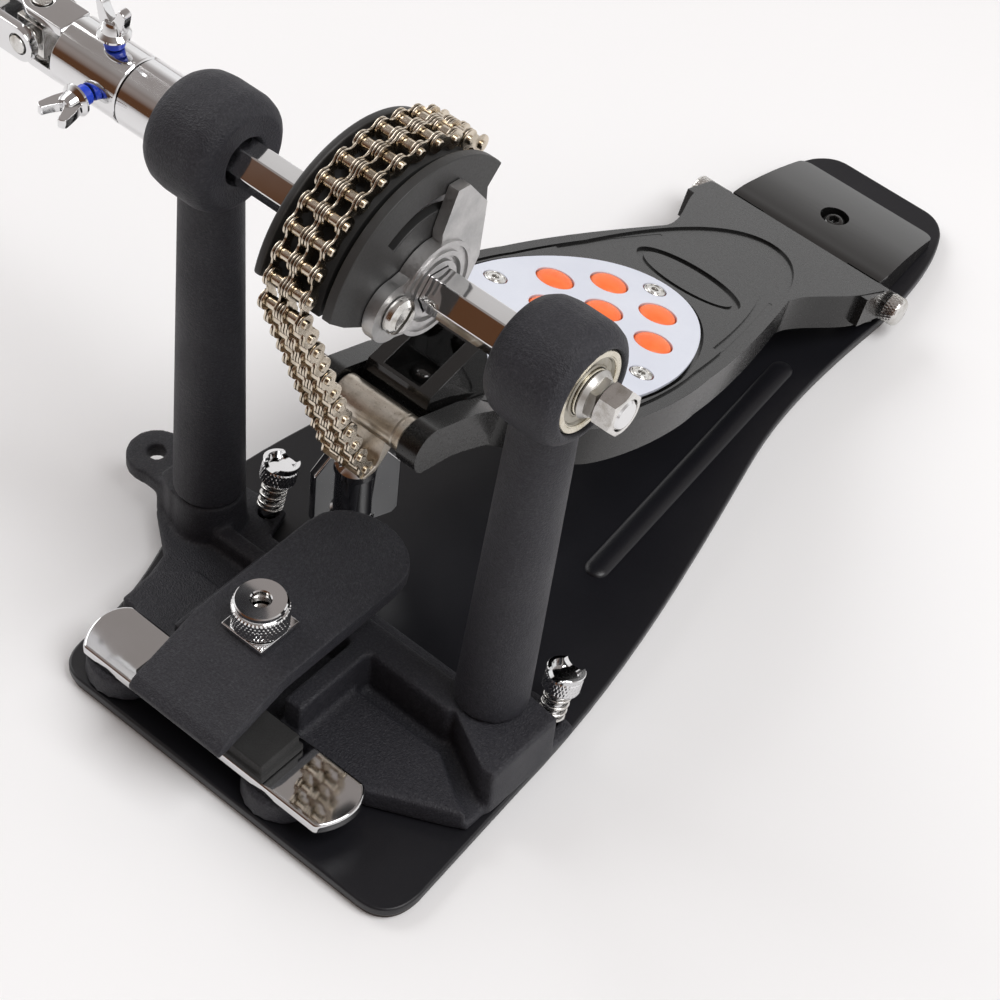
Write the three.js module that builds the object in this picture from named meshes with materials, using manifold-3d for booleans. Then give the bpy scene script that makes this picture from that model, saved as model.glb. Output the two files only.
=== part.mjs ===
// Bass drum pedal, left unit of a double pedal, with the first joint of its drive shaft.
// Millimetres. X runs along the rocker shaft, +Y points from the hoop clamp to the heel, +Z is up.
// The origin is on the underside, below the rocker shaft, midway between the board's two sides.
import * as THREE from "three";
import { mergeVertices } from "three/addons/utils/BufferGeometryUtils.js";
import Module from "manifold-3d";

const wasm = await Module();
wasm.setup();

// ---- driving dimensions ----
const GAP = 0.3; // clearance between touching pieces
const SHAFT_Z = 142.8; // height of the rocker shaft
const HEX_FLATS = 10.4; // rocker shaft across its flats
const HEX_TURN = 9; // degrees that the shaft's top flat leans to the heel
const BEARING_R = 11;
const BEARING_BORE_R = 4;
const TOWERS = { left: -55.3, right: 52 }; // middle of each bearing housing
const HOUSING_R = 16.1;
const HOUSING_LENGTH = 22.6;
const SHAFT_BORE_R = 6.5; // clears the hex shaft through a housing
const POST_TOP_R = 8.2;
const POST_FOOT_R = 10;
const POST_FOOT_Z = 22;
const PLATE_BOTTOM = 1.5; // base plate lies on a thin rubber sheet
const PLATE_TOP = 4.5;
const SHELF_TOP = 12.2;
const WALL_TOP = 22;
const PITCH = 6.35; // chain pitch
const CHAIN_R = 33.4; // radius of the chain's pins round the shaft
const CHAIN_WIDTH = 14.2;
const PLATE_H = 5.6; // height of a chain link plate
const CHAIN_STEP = 2 * Math.asin(PITCH / 2 / CHAIN_R); // turn of the cam for one link
const CHAIN_END = THREE.MathUtils.degToRad(172); // where the chain leaves the cam
const CRADLE = { y: 2, z: 87.2 }; // cradle's axis
const CHAIN_PIN = { y: -8.6, z: 79.4 }; // pin that ties the chain to the cradle
const HINGE = { y: 198.7, z: 10.9 }; // heel hinge axis
const BOARD_TILT = THREE.MathUtils.degToRad(20.6);
const BOARD_ZERO = { y: 96.4, z: 56 }; // middle of the studs, on the board's face
const STUD_SPACING = 17.4;
const STUD_R = 5.5;
const STUD_Y = -38.4; // clamp stud, in the middle plane
const TONGUE_Z = 39;
const WING = { x: -19, y: 18 };
const FLANGE_R = 32.6;
const CAM_SCREW = { y: -13.2, z: 0.9 }; // from the shaft's axis

const rad = THREE.MathUtils.degToRad;
const finish = {
  casting: { color: 0x2b2c2e, roughness: 0.75, metalness: 0.2 },
  plate: { color: 0x17181a, roughness: 0.5, metalness: 0.2 },
  gloss: { color: 0x1c1c1e, roughness: 0.2, metalness: 0.2 },
  rubber: { color: 0x1a1714, roughness: 0.9, metalness: 0 },
  chrome: { color: 0xd8d8d8, roughness: 0.08, metalness: 1 },
  steel: { color: 0xb9b9b4, roughness: 0.3, metalness: 1 },
  nickel: { color: 0xc9bfae, roughness: 0.28, metalness: 1 },
  aluminium: { color: 0xc8c8c6, roughness: 0.45, metalness: 0.9 },
  traction: { color: 0xdfe2ea, roughness: 0.5, metalness: 0 },
  stud: { color: 0xf2703a, roughness: 0.55, metalness: 0 },
  nylon: { color: 0x2346b8, roughness: 0.4, metalness: 0 },
};

// ---- geometry helpers ----
function solid(geometry) {
  const bare = geometry.index ? geometry.toNonIndexed() : geometry.clone();
  for (const name of Object.keys(bare.attributes)) {
    if (name !== "position") bare.deleteAttribute(name);
  }
  const merged = mergeVertices(bare, 1e-4);
  return new wasm.Manifold(
    new wasm.Mesh({
      numProp: 3,
      vertProperties: merged.attributes.position.array,
      triVerts: new Uint32Array(merged.index.array),
    }),
  );
}

function geometryOf(body) {
  const mesh = body.getMesh();
  const out = new THREE.BufferGeometry();
  out.setAttribute("position", new THREE.BufferAttribute(mesh.vertProperties, 3));
  out.setIndex(new THREE.BufferAttribute(mesh.triVerts, 1));
  return out;
}

const join = (...parts) => geometryOf(parts.map(solid).reduce((a, b) => a.add(b)));
const cut = (body, ...tools) =>
  geometryOf(tools.map(solid).reduce((a, b) => a.subtract(b), solid(body)));
const overlap = (a, b) => geometryOf(solid(a).intersect(solid(b)));

function shapeOf(points) {
  return new THREE.Shape(points.map(([a, b]) => new THREE.Vector2(a, b)));
}

// A prism on the XY outline, from height z0 up to z1.
function slab(points, z0, z1) {
  const shape = points instanceof THREE.Shape ? points : shapeOf(points);
  const body = new THREE.ExtrudeGeometry(shape, { depth: z1 - z0, bevelEnabled: false, curveSegments: 6 });
  return body.translate(0, 0, z0);
}

// A prism on a YZ outline, from x0 to x1.
function alongX(points, x0, x1) {
  const shape = points instanceof THREE.Shape ? points : shapeOf(points);
  const body = new THREE.ExtrudeGeometry(shape, { depth: x1 - x0, bevelEnabled: false, curveSegments: 6 });
  const turn = new THREE.Matrix4().makeBasis(
    new THREE.Vector3(0, 1, 0),
    new THREE.Vector3(0, 0, 1),
    new THREE.Vector3(1, 0, 0),
  );
  return body.applyMatrix4(turn).translate(x0, 0, 0);
}

function box(x0, x1, y0, y1, z0, z1) {
  const body = new THREE.BoxGeometry(x1 - x0, y1 - y0, z1 - z0);
  return body.translate((x0 + x1) / 2, (y0 + y1) / 2, (z0 + z1) / 2);
}

// A rod between two points, with its own end radii.
function rod(from, to, r0, r1 = r0, sides = 16) {
  const a = new THREE.Vector3(...from);
  const b = new THREE.Vector3(...to);
  const length = a.distanceTo(b);
  const body = new THREE.CylinderGeometry(r1, r0, length, sides);
  body.translate(0, length / 2, 0);
  const turn = new THREE.Quaternion().setFromUnitVectors(
    new THREE.Vector3(0, 1, 0),
    b.clone().sub(a).normalize(),
  );
  return body.applyQuaternion(turn).translate(a.x, a.y, a.z);
}

// A solid of revolution along X: profile of [x, radius] pairs that starts and ends on the axis.
function turnedX(profile, sides = 24) {
  const points = profile.map(([x, r]) => new THREE.Vector2(r, x));
  const body = new THREE.LatheGeometry(points, sides);
  return body.rotateZ(-Math.PI / 2);
}

// The same along Z: profile of [z, radius] pairs.
function turnedZ(profile, sides = 24) {
  const points = profile.map(([z, r]) => new THREE.Vector2(r, z));
  return new THREE.LatheGeometry(points, sides).rotateX(Math.PI / 2);
}

const atShaft = (body) => body.translate(0, 0, SHAFT_Z);

function hexX(flats, x0, x1, turn = HEX_TURN) {
  const shape = new THREE.Shape();
  for (let i = 0; i < 6; i += 1) {
    const angle = rad(60 * i - turn);
    const corner = flats / Math.sqrt(3);
    shape[i ? "lineTo" : "moveTo"](corner * Math.cos(angle), corner * Math.sin(angle));
  }
  return alongX(shape, x0, x1);
}

// A full disc or ring in the YZ plane, from x0 to x1.
function ringX(outer, inner, x0, x1, sides = 24) {
  if (inner === 0) return turnedX([[x0, 0], [x0, outer], [x1, outer], [x1, 0]], sides);
  return turnedX([[x0, inner], [x0, outer], [x1, outer], [x1, inner], [x0, inner]], sides);
}

// ---- base plate, its rubber sheet and the cross casting ----
function baseOutline(inset) {
  const front = -64 + inset;
  const shape = new THREE.Shape();
  shape.moveTo(-40, front);
  shape.lineTo(58, front);
  shape.quadraticCurveTo(69 - inset, front, 69 - inset, -52);
  shape.lineTo(65.5 - inset, -8);
  shape.bezierCurveTo(63 - inset, 40, 50 - inset, 86, 40 - inset, 124);
  shape.bezierCurveTo(33 - inset, 150, 33 - inset, 175, 33.5 - inset, 200);
  shape.quadraticCurveTo(32 - inset, 230, 25 - inset, 243);
  shape.quadraticCurveTo(21, 249 - inset, 15, 249 - inset);
  shape.lineTo(-15, 249 - inset);
  shape.quadraticCurveTo(-21, 249 - inset, -25 + inset, 243);
  shape.quadraticCurveTo(-32 + inset, 230, -33.5 + inset, 200);
  shape.bezierCurveTo(-33 + inset, 175, -33 + inset, 150, -40 + inset, 124);
  shape.bezierCurveTo(-50 + inset, 86, -62 + inset, 50, -64 + inset, 12);
  shape.bezierCurveTo(-64 + inset, -12, -51 + inset, -20, -49.5 + inset, -52);
  shape.quadraticCurveTo(-49.5 + inset, front, -40, front);
  return shape;
}

function rib(side) {
  return rod([side * 34, 58, PLATE_TOP - 1], [side * 24, 163, PLATE_TOP - 1], 3.4, 3.4, 10);
}

const spurAxis = new THREE.Vector3(0, Math.sin(rad(16)), Math.cos(rad(16)));
function spurPoint(tower, height) {
  const [x, y] = POST_FOOT[tower];
  const foot = new THREE.Vector3(x + 10, y + 13.2, 8);
  return foot.addScaledVector(spurAxis, height).toArray();
}

const spurHole = (tower) => rod(spurPoint(tower, -14), spurPoint(tower, 12), 2.9, 2.9, 12);

function basePlate() {
  const abovePlate = box(-70, 70, -70, 250, PLATE_TOP - 1.5, 12);
  const ribs = [-1, 1].map((side) => overlap(rib(side), abovePlate));
  const plate = join(slab(baseOutline(0), PLATE_BOTTOM, PLATE_TOP), ...ribs);
  return cut(plate, spurHole("left"), spurHole("right"));
}

function rubberSheet() {
  const sheet = slab(baseOutline(0.8), 0, PLATE_BOTTOM - GAP);
  return cut(sheet, spurHole("left"), spurHole("right"));
}

const CAST_Z = PLATE_TOP + GAP; // underside of the cross casting
const BAR_POSTS = { x: [-33.8, 22.4], y: -52.3 }; // round feet under the hoop bar
const EAR = { x: -74.6, y: -1, low: 12.5, high: 17.5 }; // holds the return spring's rod
const POST_FOOT = { left: [-53.5, -2], right: [48.5, -3] };

function towerFoot(tower) {
  const [x, y] = POST_FOOT[tower];
  const top = POST_FOOT_Z - GAP;
  const wall = tower === "right"
    ? [[x - 8, y - 8], [62, -22.5], [66, -22.5], [66, 3], [x, y + 8]]
    : [[x, y + 8], [-65, y + 4], [-66, y - 6], [-60, y - 9], [x, y - 9]];
  return join(rod([x, y, CAST_Z], [x, y, top], POST_FOOT_R + 0.6, POST_FOOT_R, 24), slab(wall, CAST_Z, top));
}

function crossCasting() {
  const floor = slab(
    [
      [-46, -40], [-22, -40], [-22, -44], [16, -44], [16, -42], [41, -42.5], [58, -34], [65, -30],
      [65, 13], [50, 15], [37, 5], [-37, 5], [-40, 15], [-58, 13], [-66, 6], [-66, -10], [-53, -20],
      [-48, -38],
    ],
    CAST_Z,
    8,
  );
  const shelf = slab(
    [[17, -42], [41, -42.5], [58, -34], [65, -30.5], [58, -27], [47, -20], [17, -20]],
    7,
    SHELF_TOP,
  );
  const leftShelf = slab([[-17, -42], [-17, -20], [-40, -20], [-48.5, -28], [-47.5, -41]], 7, SHELF_TOP);
  const crossWall = box(-17, 44, -15, -6, 7, WALL_TOP);
  const crossRail = box(-46, -15, -9, -4, 7, SHELF_TOP + 2);
  const tongueRib = box(-28.5, -25.5, -41, -6, 7, 18);
  const channelRight = box(11, 17, -41, -6, 7, WALL_TOP);
  const channelLeft = box(-17, -11, -41, -6, 7, WALL_TOP);
  const underBar = SHELF_TOP - GAP;
  const barPosts = BAR_POSTS.x.map((x) => rod([x, BAR_POSTS.y, CAST_Z], [x, BAR_POSTS.y, underBar], 11.4, 10.8, 20));
  const barBridges = [box(-42, -24, -45, -36, CAST_Z, underBar), box(10, 28, -45, -38, CAST_Z, underBar)];
  const wingBoss = join(
    box(WING.x - 5, WING.x + 5, -8, WING.y, CAST_Z, 10),
    rod([WING.x, WING.y, CAST_Z], [WING.x, WING.y, 16], 8, 7, 20),
  );
  const ear = join(
    rod([EAR.x, EAR.y, EAR.low], [EAR.x, EAR.y, EAR.high], 8.6, 8.6, 20),
    box(EAR.x, -60, -9, 5, EAR.low, EAR.high),
    box(-67.5, -60, -9, 3, CAST_Z, EAR.high),
  );
  const stock = join(
    floor, shelf, leftShelf, crossWall, crossRail, tongueRib, channelRight, channelLeft,
    ...barPosts, ...barBridges, wingBoss, ear, towerFoot("left"), towerFoot("right"),
  );
  return cut(
    stock,
    rod([EAR.x, EAR.y, EAR.low - 2], [EAR.x, EAR.y, EAR.high + 2], 2.6, 2.6, 14),
    rod([WING.x, WING.y, 6], [WING.x, WING.y, 20], 3.5, 3.5, 14),
    spurHole("left"),
    spurHole("right"),
  );
}

// ---- towers and bearings ----
function towerAxis(tower) {
  const x = TOWERS[tower];
  const [fx, fy] = POST_FOOT[tower];
  return { top: [x, 0, SHAFT_Z - 6], foot: [fx, fy, POST_FOOT_Z] };
}

function towerCasting(tower) {
  const x = TOWERS[tower];
  const half = HOUSING_LENGTH / 2;
  const left = x - half;
  const right = x + half;
  const housing = atShaft(
    turnedX(
      [
        [left, 0], [left, HOUSING_R - 5.5], [left + 1.6, HOUSING_R - 2.4], [left + 4.4, HOUSING_R - 0.6],
        [left + 8, HOUSING_R], [right - 5, HOUSING_R], [right - 2, HOUSING_R - 1],
        [right, HOUSING_R - 3.5], [right, 0],
      ],
      28,
    ),
  );
  const { top, foot } = towerAxis(tower);
  const post = rod(foot, top, POST_FOOT_R, POST_TOP_R, 24);
  const level = box(x - 30, x + 30, -30, 30, POST_FOOT_Z, SHAFT_Z + 30);
  const bore = atShaft(ringX(SHAFT_BORE_R, 0, left - 1, right + 1, 24));
  const pocket = tower === "right" ? [right - 8, right + 1] : [left + 4, left + 12];
  const seat = atShaft(ringX(BEARING_R + GAP, 0, ...pocket, 28));
  return cut(join(housing, overlap(post, level)), bore, seat);
}

function bearing(tower) {
  const half = HOUSING_LENGTH / 2;
  const x1 = tower === "right" ? TOWERS.right + half - 0.7 : TOWERS.left - half + 11.6;
  return atShaft(ringX(BEARING_R, BEARING_BORE_R + GAP, x1 - 7, x1, 28));
}

// ---- rocker shaft ----
const SHAFT_LEFT = -84;
const JOURNAL_R = BEARING_BORE_R;
function rockerShaft() {
  const half = HOUSING_LENGTH / 2;
  const rightFace = TOWERS.right + half;
  const leftSeat = TOWERS.left - half + 12.6;
  return atShaft(
    join(
      hexX(HEX_FLATS, leftSeat, rightFace - 8.6),
      ringX(JOURNAL_R, 0, SHAFT_LEFT, leftSeat + 1, 16),
      ringX(JOURNAL_R, 0, rightFace - 10, rightFace + 9, 16),
    ),
  );
}

function endSpacer() {
  const face = TOWERS.right + HOUSING_LENGTH / 2;
  const hexagon = hexX(9.6, face + 0.6, face + 3.4, 20);
  const lip = ringX(6.2, 0, face - 0.3, face + 1.2, 20);
  return atShaft(cut(join(hexagon, lip), ringX(JOURNAL_R + GAP, 0, face - 2, face + 5, 16)));
}

function endNut() {
  const face = TOWERS.right + HOUSING_LENGTH / 2;
  const nut = join(ringX(7.2, 0, face + 3.7, face + 5.2, 20), hexX(10.6, face + 5, face + 9.6, 35));
  return atShaft(cut(nut, ringX(JOURNAL_R + GAP, 0, face, face + 12, 16)));
}

// ---- cam ----
function sector(radius, from, to, floorPoints) {
  const points = [];
  const steps = 14;
  for (let i = 0; i <= steps; i += 1) {
    const angle = rad(from + ((to - from) * i) / steps);
    points.push([radius * Math.cos(angle), radius * Math.sin(angle)]);
  }
  return points.concat(floorPoints);
}

function camFlange(x0, x1, slotted) {
  const lowEdge = [[-26.5, 3], [-8, -9.6], [7, -9.6], [17, -6], [22, 6], [21.7, 15]];
  let plate = alongX(sector(FLANGE_R, 37, 166, lowEdge), x0, x1);
  const screwHole = ringX(2.7, 0, x0 - 1, x1 + 1, 12).translate(0, CAM_SCREW.y, CAM_SCREW.z);
  plate = cut(plate, ringX(7, 0, x0 - 1, x1 + 1, 20), screwHole);
  if (slotted) {
    const arc = [];
    for (const [radius, order] of [[19.6, 1], [23.4, -1]]) {
      for (let i = 0; i <= 8; i += 1) {
        const angle = rad(91 + order * (i - 4) * 8.2);
        arc.push([radius * Math.cos(angle), radius * Math.sin(angle)]);
      }
    }
    plate = cut(plate, alongX(arc, x0 - 1, x1 + 1));
  }
  return atShaft(plate);
}

const CAM_PAD = { inner: 24.5, outer: CHAIN_R - PLATE_H / 2 - GAP };
function camPad() {
  const outer = sector(CAM_PAD.outer, 40, 170, []);
  const inner = sector(CAM_PAD.inner, 170, 40, []);
  return atShaft(alongX(outer.concat(inner), -7.2, 7.2));
}

function camHub() {
  const barrel = ringX(11, 0, -9, 9, 24);
  const web = alongX([[-12, 0], [20, -11], [23.4, -2], [22, 12], [8, 20], [-8, 18]], -5, 5);
  return atShaft(cut(join(barrel, web), hexX(HEX_FLATS + 2 * GAP, -12, 12)));
}

function camClamp() {
  const collar = ringX(13, 0, 12.4, 17, 28);
  const tail = alongX(
    [[2, 15], [6.5, 25.5], [10.5, 25], [17.5, 15.5], [16.5, -1], [13, -6.5], [2, -12]],
    12.4,
    15.6,
  );
  const lobe = ringX(7.8, 0, 12.4, 15.6, 20).translate(0, CAM_SCREW.y, CAM_SCREW.z);
  const bridge = alongX([[-14, -6.5], [0, -12], [0, 10], [-14, 8.3]], 12.4, 15.6);
  const body = cut(
    join(collar, tail, lobe, bridge),
    hexX(HEX_FLATS + 2 * GAP, 8, 20),
    ringX(2.6, 0, 10, 20, 14).translate(0, CAM_SCREW.y, CAM_SCREW.z),
    ringX(5.8, 0, 15.6, 20, 20).translate(0, CAM_SCREW.y, CAM_SCREW.z),
  );
  return atShaft(body);
}

function camScrew() {
  const head = turnedX([[15.9, 0], [15.9, 4.8], [18.4, 3.2], [19, 0]], 20);
  const shank = ringX(2.3, 0, 9.2, 16.5, 12);
  const slot = box(17.4, 20, -6, 6, -0.6, 0.6);
  return atShaft(cut(join(head, shank), slot).translate(0, CAM_SCREW.y, CAM_SCREW.z));
}

function chainAnchor() {
  return atShaft(box(-7, 7, -3, 3, -4, 4).rotateX(rad(30)).translate(0, 25.6, 14.2));
}

// ---- chain ----
function camPoint(angle, radius = CHAIN_R) {
  return [radius * Math.cos(angle), SHAFT_Z + radius * Math.sin(angle)];
}

function chainOnCam() {
  const from = rad(38);
  const to = CHAIN_END - 2 * CHAIN_STEP - 1.4 / CHAIN_R;
  const points = [];
  const steps = 12;
  for (const [radius, a, b] of [[CHAIN_R + PLATE_H / 2, from, to], [CHAIN_R - PLATE_H / 2, to, from]]) {
    for (let i = 0; i <= steps; i += 1) {
      const angle = a + ((b - a) * i) / steps;
      points.push([radius * Math.cos(angle), radius * Math.sin(angle)]);
    }
  }
  return atShaft(alongX(points, -CHAIN_WIDTH / 2, CHAIN_WIDTH / 2));
}

// A run of chain between two pins, cut short of both so that it can turn about them.
// The waist thins its heel side near its lower end, where it passes the cradle.
function chainRun(from, to, spare = 1.4, waist = 0) {
  const length = Math.hypot(to[0] - from[0], to[1] - from[1]);
  const h = PLATE_H / 2;
  const end = length - spare;
  const profile = [
    [1.4, -h + 1.2], [2.6, -h], [end - 1.2, -h], [end, -h + 1.2],
    [end, h - 1.2 - waist], [end - 1.2, h - waist], [end - 4 * waist - 1.4, h - waist],
    [end - 5 * waist - 1.6, h], [2.6, h], [1.4, h - 1.2],
  ];
  const body = alongX(profile, -CHAIN_WIDTH / 2, CHAIN_WIDTH / 2);
  return body.rotateX(Math.atan2(to[1] - from[1], to[0] - from[0])).translate(0, from[0], from[1]);
}

// ---- footboard ----
// Board frame: x across, y along the board to the heel, z out of its face, from the middle of the studs.
const onBoard = (body) =>
  body.rotateX(-BOARD_TILT).translate(0, BOARD_ZERO.y, BOARD_ZERO.z);
const hingeOnBoard = (() => {
  const dy = HINGE.y - BOARD_ZERO.y;
  const dz = HINGE.z - BOARD_ZERO.z;
  return [
    dy * Math.cos(BOARD_TILT) - dz * Math.sin(BOARD_TILT),
    dy * Math.sin(BOARD_TILT) + dz * Math.cos(BOARD_TILT),
  ];
})();

const BOARD_REAR = 108.6; // rear edge of the board's skin, in the board frame
function boardOutline(inset) {
  const shape = new THREE.Shape();
  const w = (value) => value - inset;
  shape.moveTo(-w(16), -92 + inset);
  shape.lineTo(w(16), -92 + inset);
  shape.lineTo(w(16.5), -76);
  shape.bezierCurveTo(w(17), -66, w(33), -66, w(36.5), -52);
  shape.bezierCurveTo(w(40), -38, w(39.5), -14, w(36.5), 0);
  shape.bezierCurveTo(w(34), 22, w(28), 46, w(22.5), 66);
  shape.bezierCurveTo(w(22), 76, w(29.5), 86, w(31.5), 96);
  shape.lineTo(w(33.4), 106.5);
  shape.lineTo(w(32.4), BOARD_REAR - inset);
  shape.lineTo(-w(32.4), BOARD_REAR - inset);
  shape.lineTo(-w(33.4), 106.5);
  shape.lineTo(-w(31.5), 96);
  shape.bezierCurveTo(-w(29.5), 86, -w(22), 76, -w(22.5), 66);
  shape.bezierCurveTo(-w(28), 46, -w(34), 22, -w(36.5), 0);
  shape.bezierCurveTo(-w(39.5), -14, -w(40), -38, -w(36.5), -52);
  shape.bezierCurveTo(-w(33), -66, -w(17), -66, -w(16.5), -76);
  return shape;
}

const SKIRT = 11;
const PANEL = 3;
const SEAT = -1.6; // floor of the recess that takes the grip mat
const LUG_GAP = 12; // half of the space between the toe lugs
function boardLugs() {
  const lug = [
    [-71, -0.5], [-85.4, 2.4], [-101.5, 2.4], [-104.2, 1], [-105.7, -2], [-105.7, -6], [-104.2, -9],
    [-100, -9.6], [-87.5, -8.5], [-71.5, -10.5],
  ];
  return [alongX(lug, -18, -LUG_GAP), alongX(lug, LUG_GAP, 18)];
}

function heelArm(side) {
  const [y, z] = hingeOnBoard;
  const outline = [
    [93, 0], [y - 2.6, 0], [y + 3, z + 4.4], [y + 4.6, z], [y + 2, z - 4.6], [y - 3, z - 5.4], [93, -9.5],
  ];
  const arm = alongX(outline, 28.6, 33.9);
  return side > 0 ? arm : arm.translate(-62.5, 0, 0);
}

function footboard() {
  const skin = slab(boardOutline(0), -SKIRT, 0);
  const hollow = slab(boardOutline(3), -SKIRT - 1, -PANEL);
  const [hy, hz] = hingeOnBoard;
  const sides = [-1, 1];
    const seat = slab(tractionOutline(-0.4), SEAT, 1);
  const toPivot = sides.map((s) => rod([s * 20, hy, hz], [s * 40, hy, hz], 2.9, 2.9, 14));
  const cradleBore = rod([-40, ...CRADLE_ON_BOARD], [BOLT_END + GAP, ...CRADLE_ON_BOARD], 2.8, 2.8, 14);
  const heelClear = box(-28.3, 28.3, 93, 130, -30, -PANEL);
  const body = cut(
    join(skin, ...boardLugs(), ...sides.map(heelArm)),
    hollow, seat, ...toPivot, cradleBore, heelClear,
    ...plateScrewPlaces.map(([x, y]) => rod([x, y, -6], [x, y, 1], 1.9, 1.9, 10)),
  );
  return onBoard(body);
}

const CRADLE_ON_BOARD = (() => {
  const dy = CRADLE.y - BOARD_ZERO.y;
  const dz = CRADLE.z - BOARD_ZERO.z;
  return [
    dy * Math.cos(BOARD_TILT) - dz * Math.sin(BOARD_TILT),
    dy * Math.sin(BOARD_TILT) + dz * Math.cos(BOARD_TILT),
  ];
})();

const plateScrewPlaces = [[-25.6, -17.7], [25.6, -17.7], [0, 26.2]];
const studPlaces = [[0, 0]].concat(
  [0, 60, 120, 180, 240, 300].map((angle) => [
    STUD_SPACING * Math.cos(rad(angle)),
    STUD_SPACING * Math.sin(rad(angle)),
  ]),
);

function tractionOutline(inset) {
  const shape = new THREE.Shape();
  const w = (value) => value - inset;
  shape.moveTo(0, 32.5 - inset);
  shape.bezierCurveTo(-w(18), 32.5 - inset, -w(28), 10, -w(31.5), -8);
  shape.bezierCurveTo(-w(34), -24, -w(33), -44, -w(20), -54 + inset);
  shape.quadraticCurveTo(0, -60 + inset, w(20), -54 + inset);
  shape.bezierCurveTo(w(33), -44, w(34), -24, w(31.5), -8);
  shape.bezierCurveTo(w(28), 10, w(18), 32.5 - inset, 0, 32.5 - inset);
  return shape;
}

const MAT_TOP = -0.6;
function gripMat() {
  const mat = slab(tractionOutline(3), SEAT + GAP, MAT_TOP);
  const studs = studPlaces.map(([x, y]) => rod([x, y, MAT_TOP - 0.3], [x, y, 1.6], STUD_R, STUD_R - 0.8, 16));
  const holes = plateScrewPlaces.map(([x, y]) => rod([x, y, -6], [x, y, 3], 2.4, 2.4, 10));
  return onBoard(cut(join(mat, ...studs), ...holes));
}

function tractionPlate() {
  const plate = slab(tractionOutline(0), MAT_TOP + GAP, 0.7);
  const holes = studPlaces.map(([x, y]) => rod([x, y, -3], [x, y, 3], STUD_R + GAP, STUD_R + GAP, 16));
  const screws = plateScrewPlaces.map(([x, y]) => rod([x, y, -3], [x, y, 3], 3.4, 3.4, 12));
  return onBoard(cut(plate, ...holes, ...screws));
}

function plateScrew([x, y]) {
  const head = rod([x, y, -0.3], [x, y, 0.8], 3.1, 3.1, 14);
  const shank = rod([x, y, -5], [x, y, 0], 1.6, 1.6, 10);
  return onBoard(join(head, shank));
}

// Hollow stop block on the toe, level on top while the board slopes.
const BLOCK = { x: 9.6, y0: 9.7, y1: 29.4, front: 94.2, rear: 98.6, wall: 3.6 };
const BLOCK_FLOOR = 1.8; // thickness under its well, whose bottom lies parallel to the board
const BLOCK_SCREW_HEAD = 2.8;
function boardZ(y) {
  return BOARD_ZERO.z + (BOARD_ZERO.y - y) * Math.tan(BOARD_TILT);
}

function toeBlock() {
  const clear = GAP / Math.cos(BOARD_TILT);
  const y0 = BLOCK.y0 - 1.4;
  const y1 = BLOCK.y1 + 2.4;
  const wide = [
    [y0, boardZ(y0) + clear + 1.6], [y0 + 4, boardZ(y0 + 4) + clear], [y1, boardZ(y1) + clear],
    [BLOCK.y1 + 2, BLOCK.rear - 5], [BLOCK.y1, BLOCK.rear], [BLOCK.y0, BLOCK.front],
  ];
  const side = [[-11, 60], [11, 60], [10.6, 88], [BLOCK.x, 104], [-BLOCK.x, 104], [-10.6, 88]];
  const across = new THREE.ExtrudeGeometry(shapeOf(side), { depth: 60, bevelEnabled: false });
  across.rotateX(Math.PI / 2).translate(0, 50, 0);
  const inner = BLOCK.x - BLOCK.wall;
  const front = BLOCK.y0 + 1;
  const back = BLOCK.y1 - 2;
  const well = [
    [front, boardZ(front) + clear + BLOCK_FLOOR], [back, boardZ(back) + clear + BLOCK_FLOOR],
    [back, BLOCK.rear + 1], [front, BLOCK.rear + 1],
  ];
  const hole = alongX(well, -inner, inner);
  return cut(overlap(alongX(wide, -20, 20), across), hole);
}

function blockScrew() {
  const y = (BLOCK.y0 + BLOCK.y1) / 2;
  const seat = boardZ(y) + GAP / Math.cos(BOARD_TILT) + BLOCK_FLOOR + GAP;
  const along = (h) => [0, y + h * Math.sin(BOARD_TILT), seat + h * Math.cos(BOARD_TILT)];
  const socket = rod(along(1.2), along(BLOCK_SCREW_HEAD + 1), 1.7, 1.7, 6);
  return cut(rod(along(0), along(BLOCK_SCREW_HEAD), 3.6, 3.6, 16), socket);
}

// ---- chain cradle at the toe ----
function cradle() {
  const barrel = ringX(5, 0, -LUG_GAP + GAP + 0.2, LUG_GAP - GAP - 0.2, 20).translate(0, CRADLE.y, CRADLE.z);
  const { y, z } = CHAIN_PIN;
  const outline = [
    [y - 1, z - 2.6], [y + 3, z - 2.8], [CRADLE.y + 2, CRADLE.z - 3.6], [CRADLE.y - 2, CRADLE.z + 3],
    [y + 4.6, z + 2], [y + 3, z - 0.6], [y - 2, z - 1.6],
  ];
  const lug = alongX(outline, -6.9, 6.9);
  return cut(join(barrel, lug), ringX(2.9, 0, -20, 20, 14).translate(0, CRADLE.y, CRADLE.z));
}

const BOLT_END = 15.7; // blind end of the bolt in the right lug
function cradleBolt() {
  const head = hexX(9, -22.6, -18.3, 0);
  const shank = ringX(2.5, 0, -19, BOLT_END, 14);
  return join(head, shank).translate(0, CRADLE.y, CRADLE.z);
}

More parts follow.
